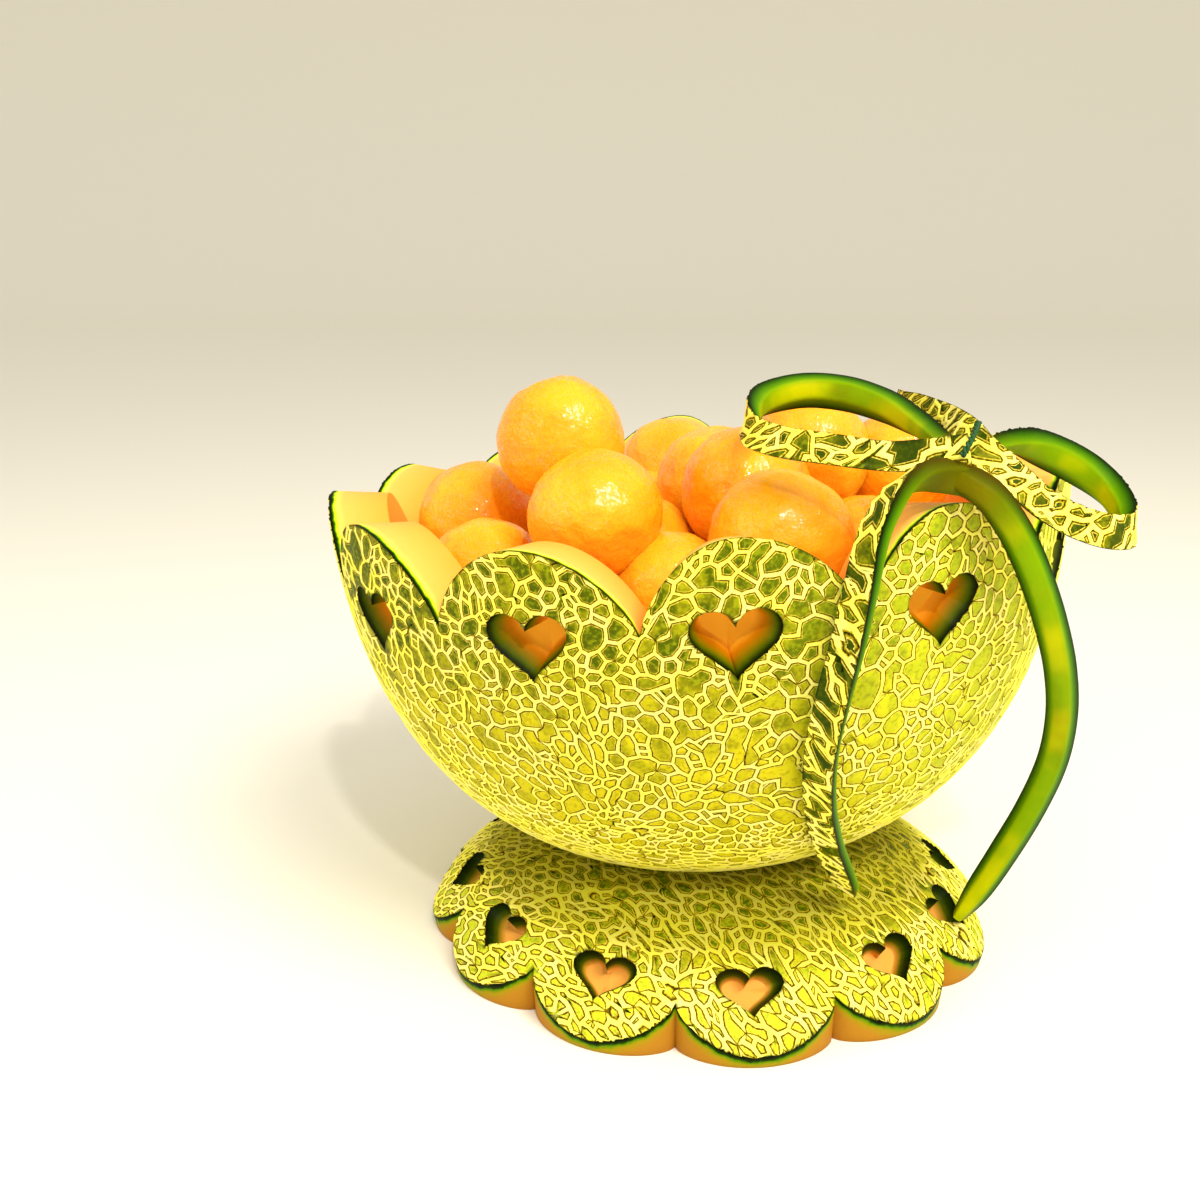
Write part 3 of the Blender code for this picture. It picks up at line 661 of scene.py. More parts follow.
def outer_corner(vert, cell_edges):
    """The corner outside a cell that its inset corner came from."""
    return next(edge.other_vert(vert) for edge in vert.link_edges if edge not in cell_edges)


def raise_net(shape, level, depth_of, seed, wide=1.0):
    """Raises rounded ridges of cork on the cells' edges, and closes the sheet down or up to level.

    The sheet's faces are its cells. Ridges get the cork's material and cells the skin's.
    """
    net = bpy.context.scene.cantaloupe_net
    draw = random.Random(seed)
    strength = grow_ridges(shape, net.missing, draw)
    cells = list(shape.faces)
    border = [edge for edge in shape.edges if edge.is_boundary]
    wall = bmesh.ops.extrude_edge_only(shape, edges=border)["geom"]
    for vert in [item for item in wall if isinstance(item, bmesh.types.BMVert)]:
        vert.co.z = level
    bmesh.ops.holes_fill(shape, edges=[e for e in shape.edges if e.is_boundary], sides=0)
    moves = {face: inward_moves(face, strength, net.ridge * wide) for face in cells}
    lifted = [(crest, strength[crest] * net.relief) for crest in strength if crest.is_valid]
    foot = {}
    bmesh.ops.inset_individual(shape, faces=cells, thickness=0.0)
    for face in cells:
        edges = set(face.edges)
        for vert in face.verts:
            crest = outer_corner(vert, edges)
            foot[vert] = (crest, moves[face][crest])
    bmesh.ops.inset_individual(shape, faces=cells, thickness=0.0)
    for face in cells:
        edges = set(face.edges)
        for vert in face.verts:
            crest, move = foot[outer_corner(vert, edges)]
            vert.co = crest.co + move * CREVICE
            lifted.append((vert, CELL_BULGE))
    for vert, (crest, move) in foot.items():
        vert.co = crest.co + move
        lifted.append((vert, 0.0))
    depths, normals = depth_of(np.array([tuple(vert.co) for vert, _ in lifted]))
    for (vert, height), depth, normal in zip(lifted, depths, normals):
        vert.co += Vector(normal) * (depth + height)
    for face in shape.faces:
        face.material_index = CORK
    for face in cells:
        face.material_index = SKIN
    bmesh.ops.triangulate(shape, faces=shape.faces)
    bmesh.ops.recalc_face_normals(shape, faces=shape.faces)
    return shape


def netted_melon():
    """The melon's lower half as a closed bmesh with its net, up to a little over its middle."""
    net = bpy.context.scene.cantaloupe_net
    draw = random.Random(4)
    shape = bmesh.new()
    bmesh.ops.create_icosphere(shape, subdivisions=1, radius=1.0)
    # An icosphere whose edges are in n parts has 10 n^2 + 2 points, one to a six-sided cell.
    cells = 4.0 * math.pi * MELON_OVER_SPHERE / (math.sqrt(0.75) * net.cell ** 2)
    cuts = round(math.sqrt(cells / 10.0) * MELON_RADIUS) - 1
    bmesh.ops.subdivide_edges(shape, edges=shape.edges, cuts=cuts, use_grid_fill=True)
    noise.seed_set(4)
    spread = MELON_SCATTER * net.cell / MELON_RADIUS
    (broad, broad_reach), (small, small_reach) = BROAD_WAVE, SMALL_WAVE
    for vert in shape.verts:
        way = vert.co.normalized() + Vector([draw.uniform(-spread, spread) for _ in range(3)])
        way += (noise.noise_vector(way * broad) * broad_reach
                + noise.noise_vector(way * small) * small_reach)
        polar = math.atan2(math.hypot(way.x, way.y), -way.z)
        moved = float(np.interp(polar, NET_POLAR_FROM, NET_POLAR_TO))
        way = Vector((way.x, way.y, 0.0)).normalized() * math.sin(moved)
        way.z = -math.cos(moved)
        share = (math.hypot(way.x, way.y) / MELON_RADIUS) ** MELON_SQUARENESS
        share += (abs(way.z) / MELON_HALF_HEIGHT) ** MELON_SQUARENESS
        vert.co = way * share ** (-1.0 / MELON_SQUARENESS)
    bmesh.ops.bisect_plane(shape, geom=shape.verts[:] + shape.edges[:] + shape.faces[:],
                           plane_co=(0, 0, NET_TOP), plane_no=(0, 0, 1), clear_outer=True)
    bmesh.ops.beautify_fill(shape, faces=shape.faces, edges=shape.edges, method="ANGLE")
    return raise_net(cells_of(shape), NET_LID, melon_depth, seed=9)


def flat_sheet(width, length, stretch, seed):
    """A triangulated sheet of the net's cell size, scattered, as wide and long as said."""
    cell = bpy.context.scene.cantaloupe_net.cell * stretch
    draw = random.Random(seed)
    shape = bmesh.new()
    bmesh.ops.create_grid(shape, x_segments=round(width / cell), y_segments=round(length / cell),
                          size=0.5)
    bmesh.ops.triangulate(shape, faces=shape.faces)
    for vert in shape.verts:
        vert.co = Vector((vert.co.x * width + draw.uniform(-SHEET_SCATTER, SHEET_SCATTER) * cell,
                          vert.co.y * length + draw.uniform(-SHEET_SCATTER, SHEET_SCATTER) * cell,
                          0.0))
    bmesh.ops.beautify_fill(shape, faces=shape.faces, edges=shape.edges, method="ANGLE")
    return shape


def netted_dome():
    """The foot's dome as a closed bmesh with its net."""
    angle = np.linspace(0.0, math.pi / 2, 400)
    below = 12.0 * MM
    radius = np.append(FOOT_RADIUS * np.sin(angle), FOOT_RADIUS)
    height = np.append(FOOT_DOME * np.cos(angle), -below) - FOOT_SUNK
    arc = distance_walked(radius, height)
    shape = flat_sheet(2.0 * arc[-1], 2.0 * arc[-1], stretch=0.95, seed=21)
    outside = [vert for vert in shape.verts if vert.co.length > arc[-1] * 0.99]
    bmesh.ops.delete(shape, geom=outside, context="VERTS")
    for vert in shape.verts:
        walked = vert.co.length
        vert.co *= float(np.interp(walked, arc, radius)) / max(walked, 1e-9)
        vert.co.z = float(np.interp(walked, arc, height))
    return raise_net(cells_of(shape), -FOOT_SUNK - 2.0 * below, dome_depth, seed=22, wide=1.25)


# ---------------------------------------------------------------- materials

def new_material(name):
    """A new material, its node tree and its surface shader."""
    material = bpy.data.materials.new(name)
    material.use_nodes = True
    return material, material.node_tree, material.node_tree.nodes["Principled BSDF"]


def place_of(tree):
    """Where on its piece a point is, in mm: a strip's as if it lay flat."""
    return add(tree, "ShaderNodeAttribute", attribute_name="skin_mm").outputs["Vector"]


def depth_in(tree):
    """Depth in mm below the whole melon's skin; it is negative on the net's ridges."""
    return add(tree, "ShaderNodeAttribute", attribute_name="depth_mm").outputs["Fac"]


def noise_in(tree, place, scale, detail=2.0):
    """Noise from 0 to 1 at a place."""
    return add(tree, "ShaderNodeTexNoise",
               {"Vector": place, "Scale": scale, "Detail": detail}).outputs[0]


def set_surface(tree, shader, colour, rough, specular, height, deep, strength):
    """Links a material's colour and its bump, deep mm high, and says how rough and shiny it is."""
    tree.links.new(colour, shader.inputs["Base Color"])
    shader.inputs["Roughness"].default_value = rough
    shader.inputs["Specular IOR Level"].default_value = specular
    bump = add(tree, "ShaderNodeBump",
               {"Height": height, "Distance": deep * MM, "Strength": strength})
    tree.links.new(bump.outputs[0], shader.inputs["Normal"])


def by_cut_edge(tree, colour, share):
    """Darkens a colour to the deep green that shows where the rind's skin has been cut through."""
    cut = add(tree, "ShaderNodeAttribute", attribute_name="cut_edge").outputs["Fac"]
    return mix(tree, fade(tree, cut, 0.4, 1.0, 0.0, share), colour, hex_linear("#1a2600"))


def cork_material(name, painted_crevice_shade, bowl_shadow_from=999.0):
    """The net: dry cork, cream on its crests, with painted shade on the ridges' sides and feet.

    Above the height that the last argument gives, the crests darken to olive: the bowl's painted
    shadow on the foot.
    """
    net = bpy.context.scene.cantaloupe_net
    material, tree, shader = new_material(name)
    place = place_of(tree)
    rise = math_of(tree, "MULTIPLY", depth_in(tree), -1.0)
    fibres = noise_in(tree, place, 2.2, 3.0)
    rough = math_of(tree, "MULTIPLY", math_of(tree, "SUBTRACT", fibres, 0.5), 0.16)
    edge = math_of(tree, "ADD", rise, rough)
    crest = mix(tree, fade(tree, noise_in(tree, place, 0.16), 0.4, 0.65), tuple(net.cork),
                hex_linear("#fff583"))
    crest = mix(tree, fade(tree, fibres, 0.5, 0.75, 0.0, 0.45), crest, hex_linear("#e8c828"))
    # Painted shadow of the bowl: the crests darken to olive above the given height.
    height = add(tree, "ShaderNodeSeparateXYZ", {0: place}).outputs["Z"]
    crest = mix(tree, fade(tree, height, bowl_shadow_from, bowl_shadow_from + 6.0, 0.0, 0.8), crest,
                hex_linear("#9c9a10"))
    # Painted shade: the ridges' sides turn ochre and their feet take the dark crevice colour.
    side = mix(tree, fade(tree, edge, 0.06, 0.16), hex_linear("#a8920c"), crest)
    foot = mix(tree, fade(tree, edge, 0.0, 0.08), painted_crevice_shade, side)
    set_surface(tree, shader, by_cut_edge(tree, foot, 0.85), rough=0.75, specular=0.04,
                height=noise_in(tree, place, 3.2, 4.0), deep=0.15, strength=0.6)
    return material


def skin_material(name, ripeness_and_shade, pale, shaded=(0.0, 0.0)):
    """The skin between the ridges: waxy, olive where it ripens last, with painted shade at the
    ridges' feet.

    Ripeness is where it turns yellow by height, and on the foot is painted shade under the bowl;
    pale is an axis and where it turns pale along that, painted light on the lit side; and shaded is
    how much dark green its patches have.
    """
    net = bpy.context.scene.cantaloupe_net
    material, tree, shader = new_material(name)
    place = place_of(tree)
    split = add(tree, "ShaderNodeSeparateXYZ", {0: place})
    # On the foot this turn by height is painted shade: greener and darker high up under the bowl.
    low = fade(tree, split.outputs["Z"], *ripeness_and_shade)
    patches = fade(tree, noise_in(tree, place, 0.055), 0.35, 0.65, -0.14, 0.16)
    cells = fade(tree, noise_in(tree, place, 0.22, 0.0), 0.3, 0.7, -0.22, 0.22)
    ripe = math_of(tree, "ADD", low, math_of(tree, "ADD", patches, cells), clamp=True)
    ground = mix(tree, ripe, tuple(net.green), tuple(net.yellow))
    # Painted light: the skin turns pale along the given axis, on the bowl's lit right side and the
    # foot's lit rim.
    ground = mix(tree, fade(tree, split.outputs[pale[0]], *pale[1:]), ground, hex_linear("#ccd828"))
    mottle = noise_in(tree, place, 1.1, 4.0)
    ground = mix(tree, fade(tree, mottle, 0.45, 0.66, 0.0, 0.3), ground, hex_linear("#c4cc14"))
    ground = mix(tree, fade(tree, mottle, 0.5, 0.36, 0.0, 0.3), ground, hex_linear("#464a00"))
    dark = fade(tree, noise_in(tree, place, 0.16, 1.0), 0.4, 0.56, *shaded)
    ground = mix(tree, dark, ground, hex_linear("#263a00"))
    # Painted shade: the cells darken next to the ridges' feet.
    rise = math_of(tree, "MULTIPLY", depth_in(tree), -1.0)
    ground = mix(tree, fade(tree, rise, 0.125, 0.055, 0.0, 0.95), ground, hex_linear("#2e2400"))
    set_surface(tree, shader, by_cut_edge(tree, ground, 0.7), rough=0.5, specular=0.05,
                height=mottle, deep=0.12, strength=0.5)
    return material


# Colours of cut flesh by its depth below the melon's skin, as a share of the material's reach.
FLESH_STOPS = (
    (0.0, "#0c1400"), (0.035, "#122600"), (0.055, "#3c7000"), (0.075, "#a8d000"), (0.1, "#ece62c"),
    (0.14, "#ffcc5c"), (0.24, "#ffb854"), (1.0, "#ffa43c"),
)
# The foot's cut flesh is browner and darker than the bowl's: partly painted shade.
FOOT_FLESH_STOPS = (
    (0.0, "#0c1400"), (0.03, "#1c3600"), (0.055, "#5f8a00"), (0.09, "#a08c10"), (0.16, "#b07c20"),
    (1.0, "#a8641c"),
)
STRIP_STOPS = (
    (0.0, "#0a1400"), (0.14, "#162c00"), (0.36, "#2e5a00"), (0.7, "#548200"), (1.0, "#7c9e00"),
)
# Scale of a patch's noise, where in it the patch starts and is full, its share and its tint.
STRIP_PATCHES = ((0.07, 0.38, 0.64, 0.55, "#d4c800"), (0.06, 0.54, 0.7, 0.45, "#6a6000"))
# Painted shade near the knot: distances along the strip between which it fades out, its share and
# its colour.
KNOT_SHADE = ((2.0, 20.0, 0.8, "#4c3c00"),)
# The hearts' walls run olive and brown where cut flesh elsewhere turns lime and yellow: partly
# painted shade in the recess.
PIT_STOPS = (
    (0.0, "#0c1200"), (0.08, "#1f2a00"), (0.22, "#4c5800"), (0.42, "#8a6a00"), (0.66, "#c87400"),
    (1.0, "#ffb42c"),
)
# The foot's hearts likewise: dark walls, partly painted shade in the recess.
FOOT_PIT_STOPS = (
    (0.0, "#0c1200"), (0.3, "#1c2c00"), (0.55, "#455000"), (0.75, "#a4801c"), (1.0, "#eca848"),
)


def moist_flesh(name, stops, reach_mm, patches=(), knot=()):
    """Fresh-cut melon flesh: dark green under the skin, then what the stops say, and moist.

    Patches are tints by noise along the middle of a strip, and the knot's is painted shade that
    fades along it from its tied end.
    """
    material, tree, shader = new_material(name)
    place = place_of(tree)
    grain = noise_in(tree, place, 0.35, 3.0)
    uneven = math_of(tree, "MULTIPLY", math_of(tree, "SUBTRACT", grain, 0.5), reach_mm * 0.09)
    depth = math_of(tree, "ADD", depth_in(tree), uneven)
    level = math_of(tree, "DIVIDE", depth, reach_mm, clamp=True)
    colour = ramp(tree, level, stops)
    split = add(tree, "ShaderNodeSeparateXYZ", {0: place})
    for scale, start, end, share, tint in patches:
        middle = fade(tree, math_of(tree, "ABSOLUTE", split.outputs["X"]), 2.3, 0.7, 0.0, share)
        patch = fade(tree, noise_in(tree, place, scale), start, end)
        colour = mix(tree, math_of(tree, "MULTIPLY", patch, middle), colour, hex_linear(tint))
    # Painted shade, darkest at the knot's end.
    for start, end, share, tint in knot:
        near = fade(tree, split.outputs["Y"], start, end, share, 0.0)
        colour = mix(tree, near, colour, hex_linear(tint))
    shader.inputs["Subsurface Weight"].default_value = 0.12
    shader.inputs["Subsurface Radius"].default_value = (1.0, 0.55, 0.2)
    shader.inputs["Subsurface Scale"].default_value = 1.6 * MM
    set_surface(tree, shader, colour, rough=0.45, specular=0.03,
                height=noise_in(tree, place, 1.1, 3.0), deep=0.12, strength=0.6)
    return material


def ball_material(name):
    """Scooped melon flesh: translucent orange, with beads of juice that catch the light."""
    balls = bpy.context.scene.cantaloupe_balls
    material, tree, shader = new_material(name)
    place = place_of(tree)
    share = fade(tree, noise_in(tree, place, 0.07), 0.35, 0.68)
    colour = mix(tree, share, tuple(balls.colour), hex_linear("#ff9e0c"))
    lumps = math_of(tree, "ADD", noise_in(tree, place, 0.35, 3.0),
                    math_of(tree, "MULTIPLY", noise_in(tree, place, 1.7, 2.0), 0.22))
    set_surface(tree, shader, colour, rough=0.32, specular=0.12, height=lumps, deep=1.1,
                strength=0.6)
    shader.inputs["Subsurface Weight"].default_value = 0.6
    shader.inputs["Subsurface Radius"].default_value = (1.0, 0.6, 0.05)
    shader.inputs["Subsurface Scale"].default_value = 5.0 * MM
    beads = fade(tree, noise_in(tree, place, 1.5, 1.0), 0.47, 0.6, 0.08, 1.0)
    tree.links.new(beads, shader.inputs["Coat Weight"])
    shader.inputs["Coat Roughness"].default_value = 0.05
    wet = add(tree, "ShaderNodeBump", {"Height": noise_in(tree, place, 0.75, 1.0),
                                       "Distance": 0.6 * MM, "Strength": 0.5})
    tree.links.new(wet.outputs[0], shader.inputs["Coat Normal"])
    return material


def thread_material(name):
    """Dyed cotton thread: matt, with lint on its plies."""
    bow = bpy.context.scene.cantaloupe_bow
    material, tree, shader = new_material(name)
    place = add(tree, "ShaderNodeTexCoord").outputs["Object"]
    lint = noise_in(tree, place, 3000.0)
    tree.links.new(mix(tree, lint, tuple(bow.thread), hex_linear("#042c08")),
                   shader.inputs["Base Color"])
    shader.inputs["Roughness"].default_value = 0.7
    return material


def shared(name, make, *details):
    """The material of that name, made the first time that a piece needs it."""
    return bpy.data.materials.get(name) or make(name, *details)


def bowl_materials():
    """Slots for the bowl: cork, skin, cut flesh and the hearts' flesh."""
    return [
        shared("dry_cork_net", cork_material, hex_linear("#2a2000")),
        # Its right side is painted paler: painted light.
        shared("waxy_cantaloupe_skin", skin_material, (-12.0, -68.0), ("X", 5.0, 55.0, 0.0, 0.6)),
        shared("fresh_cut_melon_flesh", moist_flesh, FLESH_STOPS, 13.0),
        shared("carved_heart_flesh", moist_flesh, PIT_STOPS, 6.2),
    ]


def foot_materials():
    """Slots for the foot: painted light on its rim, painted shade under the bowl, and darker flesh,
    partly painted shade.
    """
    return [
        # Its crests darken above 12.5 mm high: the bowl's painted shadow on the foot.
        shared("dry_cork_net_of_the_foot", cork_material, hex_linear("#2a2000"), 12.5),
        # Paler and yellower at the rim, greener up under the bowl: painted light and painted shade.
        shared("waxy_skin_of_the_foot", skin_material, (21.0, 13.0, -0.2, 0.4),
               ("Z", 17.0, 11.5, 0.0, 0.85)),
        shared("ripe_melon_flesh", moist_flesh, FOOT_FLESH_STOPS, 13.0),
        shared("carved_heart_flesh_of_the_foot", moist_flesh, FOOT_PIT_STOPS, 4.6),
    ]


def strip_materials():
    """Slots for a strip of rind: cork, skin and cut flesh."""
    return [
        shared("dry_cork_net_on_strips", cork_material, hex_linear("#162000")),
        shared("green_strip_skin", skin_material, (-999.0, -1000.0, 0.0, 0.0),
               ("X", 90.0, 91.0), (0.3, 0.85)),
        shared("cut_rind_strip_flesh", moist_flesh, STRIP_STOPS, 2.9, STRIP_PATCHES, KNOT_SHADE),
    ]


# ---------------------------------------------------------------- pieces

def flesh_corners(mesh):
    """Which of the mesh's face corners are on cut flesh."""
    of_flesh = read(mesh.polygons, "material_index") >= FLESH
    return np.repeat(of_flesh, read(mesh.polygons, "loop_total"))


def cut_edges(mesh):
    """1 for each vertex where cork or skin meets cut flesh, and 0 elsewhere."""
    corners = read(mesh.loops, "vertex_index")
    of_flesh = flesh_corners(mesh)
    touches = np.zeros((2, len(mesh.vertices)))
    touches[0, corners[of_flesh]] = 1.0
    touches[1, corners[~of_flesh]] = 1.0
    return touches.min(axis=0)


def smooth_but_carved(mesh):
    """Smooth shading, with sharp edges only where the knife went: the net is all rounded."""
    mesh.shade_smooth()
    mesh.set_sharp_from_angle(angle=math.radians(48))
    sharp = read(mesh.edges, "use_edge_sharp", bool)
    carved = np.zeros(len(mesh.edges), bool)
    carved[read(mesh.loops, "edge_index")[flesh_corners(mesh)]] = True
    mesh.edges.foreach_set("use_edge_sharp", sharp & carved)


def finish_melon(piece, depth_of):
    """Writes what the materials read, and smooths all but the carved edges."""
    mesh = piece.data
    points = points_of(mesh)
    write_attribute(mesh, "depth_mm", "FLOAT", depth_of(points)[0] / MM)
    write_attribute(mesh, "skin_mm", "FLOAT_VECTOR", points / MM)
    write_attribute(mesh, "cut_edge", "FLOAT", cut_edges(mesh))
    smooth_but_carved(mesh)


def block_from(name, places, materials):
    """The carving block of cut flesh that a netted piece is trimmed to."""
    block = piece_from(name, closed_skin(places), materials)
    block.data.polygons.foreach_set("material_index", [FLESH] * len(block.data.polygons))
    return block


def bowl_places(columns):
    """The bowl's block in the melon's frame: outside, proud of the skin, cut rim, inner wall."""
    centres = lobe_centres(FIRST_PETAL, PETAL_TURN)
    azimuths = np.array(lobe_azimuths(centres, VALLEY_LEAN, columns))
    lobes = [lobe_share(a, centres, VALLEY_LEAN, PETAL_ROUNDNESS) for a in azimuths]
    rim = np.array([PETAL_VALLEY + (PETAL_TIP + PETAL_RISE[i] * MM - PETAL_VALLEY) * s
                    for i, s in lobes])
    slope = np.tan(np.radians([VALLEY_SLOPE + (PETAL_SLOPE[i] - VALLEY_SLOPE) * s
                               for i, s in lobes]))
    rim_radius = melon_radius(rim)
    height, radius, length = melon_arc(-PROUD)
    rim_length = np.interp(-rim - PROUD * slope, -height, length)
    rows = []
    for share in np.linspace(0.0, 1.0, 14):
        down = length[-1] + (rim_length - length[-1]) * share
        rows.append((np.interp(down, length, radius), np.interp(down, length, height)))
    inner_radius = rim_radius - WALL
    for _ in range(12):
        level = rim - (rim_radius - inner_radius) * slope
        inner_radius = melon_radius(level, WALL)
    for share in (0.0, 0.04, 0.1, 0.2, 0.35, 0.55, 0.78, 1.0):
        reach = (rim_radius - inner_radius) * share
        rows.append((rim_radius - reach, rim - reach * slope))
    inner_height, inner_arc_radius, inner_length = melon_arc(WALL)
    start = np.interp(-rows[-1][1], -inner_height, inner_length)
    for share in (0.06, 0.14, 0.25, 0.4, 0.6, 0.8, 1.0):
        down = start + (inner_length[-1] - start) * share
        rows.append((np.interp(down, inner_length, inner_arc_radius),
                     np.interp(down, inner_length, inner_height)))
    return np.stack([spun(azimuths, radius, height) for radius, height in rows])


def make_bowl():
    """The carved melon: netted skin, scalloped cut rim, a heart cut into each petal."""
    columns = bpy.context.scene.cantaloupe_carving.petal_columns
    materials = bowl_materials()
    radius = float(melon_radius(BOWL_HEART_HEIGHT))
    power = MELON_SQUARENESS - 1.0
    slope_out = radius ** power / MELON_RADIUS ** MELON_SQUARENESS
    slope_up = -abs(BOWL_HEART_HEIGHT) ** power / MELON_HALF_HEIGHT ** MELON_SQUARENESS
    frames = [skin_frame(radius, BOWL_HEART_HEIGHT, slope_out, slope_up, centre)
              for centre in lobe_centres(FIRST_PETAL, PETAL_TURN)]
    block = block_from("bowl_block", bowl_places(columns), materials)
    punch_hearts(block, frames, BOWL_HEART, 3)
    bowl = piece_from("carved_bowl", netted_melon(), materials)
    boolean(bowl, block, "INTERSECT")
    finish_melon(bowl, melon_depth)
    bowl.data.transform(BOWL_PLACE)
    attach(bowl, "root")
    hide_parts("bowl")


def inside_melon(points):
    """How far out points of the row frame lie, with 1 on the seat's surface under the bowl."""
    back = np.array(BOWL_PLACE.inverted())
    own = points @ back[:3, :3].T + back[:3, 3]
    radius = np.hypot(own[..., 0], own[..., 1]) / (MELON_RADIUS + GAP)
    height = np.abs(own[..., 2]) / (MELON_HALF_HEIGHT + GAP)
    return radius ** MELON_SQUARENESS + height ** MELON_SQUARENESS


def halve(low, high, outside):
    """Narrows low and high to where outside() turns true."""
    for _ in range(40):
        middle = (low + high) / 2.0
        beyond = outside(middle)
        low, high = np.where(beyond, low, middle), np.where(beyond, middle, high)
    return (low + high) / 2.0


def foot_places(columns):
    """The foot's block: under the middle, cut wall, top proud of the dome, seat."""
    centres = lobe_centres(FIRST_SCALLOP, SCALLOP_TURN)
    azimuths = np.array(lobe_azimuths(centres, 0.0, columns))
    share = np.array([lobe_share(a, centres, 0.0, FOOT_ROUNDNESS)[1] for a in azimuths])
    edge = FOOT_VALLEY + (FOOT_TIP - FOOT_VALLEY) * share
    seat = halve(np.full_like(edge, 20.0 * MM), np.full_like(edge, 60.0 * MM),
                 lambda r: inside_melon(spun(azimuths, r, dome_height(r) + PROUD)) > 1.0)
    top = dome_height(edge) + PROUD
    bevel = 0.25 * MM
    rows = [(edge * 0.0, 0.0), (edge * 0.6, 0.0), (edge - FOOT_DRAFT - bevel, 0.0)]
    for part in (0.0, 0.2, 0.4, 0.6, 0.8, 1.0):
        rows.append((edge - FOOT_DRAFT * (1.0 - part), bevel + (top - bevel) * part))
    for part in np.linspace(0.0, 1.0, 8)[1:]:
        radius = edge + (seat - edge) * part
        rows.append((radius, dome_height(radius) + PROUD))
    for part in (0.97, 0.94, 0.88, 0.8, 0.55, 0.3, 0.0):
        radius = seat * part
        level = halve(edge * 0.0, edge * 0.0 + 40.0 * MM,
                      lambda z: inside_melon(spun(azimuths, radius, z)) < 1.0)
        rows.append((radius, level))
    return np.stack([spun(azimuths, radius, height) for radius, height in rows])


def make_foot():
    """The melon's end cap that the bowl stands on, with scallops and hearts."""
    columns = bpy.context.scene.cantaloupe_carving.petal_columns
    materials = foot_materials()
    height = float(dome_height(FOOT_HEART_RADIUS))
    slope_out = FOOT_HEART_RADIUS / FOOT_RADIUS ** 2
    slope_up = (height + FOOT_SUNK) / FOOT_DOME ** 2
    frames = [skin_frame(FOOT_HEART_RADIUS, height, slope_out, slope_up, centre)
              for centre in lobe_centres(FIRST_SCALLOP, SCALLOP_TURN)]
    block = block_from("foot_block", foot_places(columns), materials)
    punch_hearts(block, frames, FOOT_HEART, 5)
    foot = piece_from("carved_foot", netted_dome(), materials)
    boolean(foot, block, "INTERSECT")
    finish_melon(foot, dome_depth)
    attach(foot, "root")
    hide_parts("foot")


def heap_level(radius):
    """Height of the heap's top ball centres at a radius, from the melon's middle."""
    rings, _, heights = zip(*reversed(FILL_RINGS))
    return np.interp(radius / MM, rings, heights) * MM


def ball_places(loose):
    """Centre and radius of every ball: the front ones, those in rings, then loose ones between."""
    draw = random.Random(7)
    balls = [(Vector(place) * MM, radius * MM) for place, radius in FRONT_BALLS]

    def closeness(place, radius):
        return min((place - other).length / (radius + size) for other, size in balls)

    for ring, count, height in FILL_RINGS:
        for index in range(count):
            azimuth = 2.0 * math.pi * (index + 0.5) / count
            place = Vector((ring * math.sin(azimuth), -ring * math.cos(azimuth), height)) * MM
            place += Vector([draw.uniform(-RING_UNEVEN, RING_UNEVEN) for _ in range(3)])
            place = BOWL_PLACE @ place
            radius = BALL_RADIUS * draw.uniform(0.95, 1.04)
            if closeness(place, radius) > RING_CLOSENESS:
                balls.append((place, radius))
    balls += [(Vector(place) * MM, radius * MM) for place, radius in BALLS_BEHIND]
    showing = len(balls)
    for attempt in range(LOOSE_TRIES):
        if len(balls) - showing >= loose:
            break
        reach = LOOSE_REACH * math.sqrt(draw.random())
        azimuth = draw.uniform(0.0, 2.0 * math.pi)
        drop = HEAP_DROP * attempt / LOOSE_TRIES * DROP_GROWTH
        place = BOWL_PLACE @ Vector((reach * math.sin(azimuth), -reach * math.cos(azimuth),
                                     float(heap_level(reach)) - drop))
        radius = BALL_RADIUS * draw.uniform(0.95, 1.02)
        if closeness(place, radius) > LOOSE_CLOSENESS:
            balls.append((place, radius))
    return balls


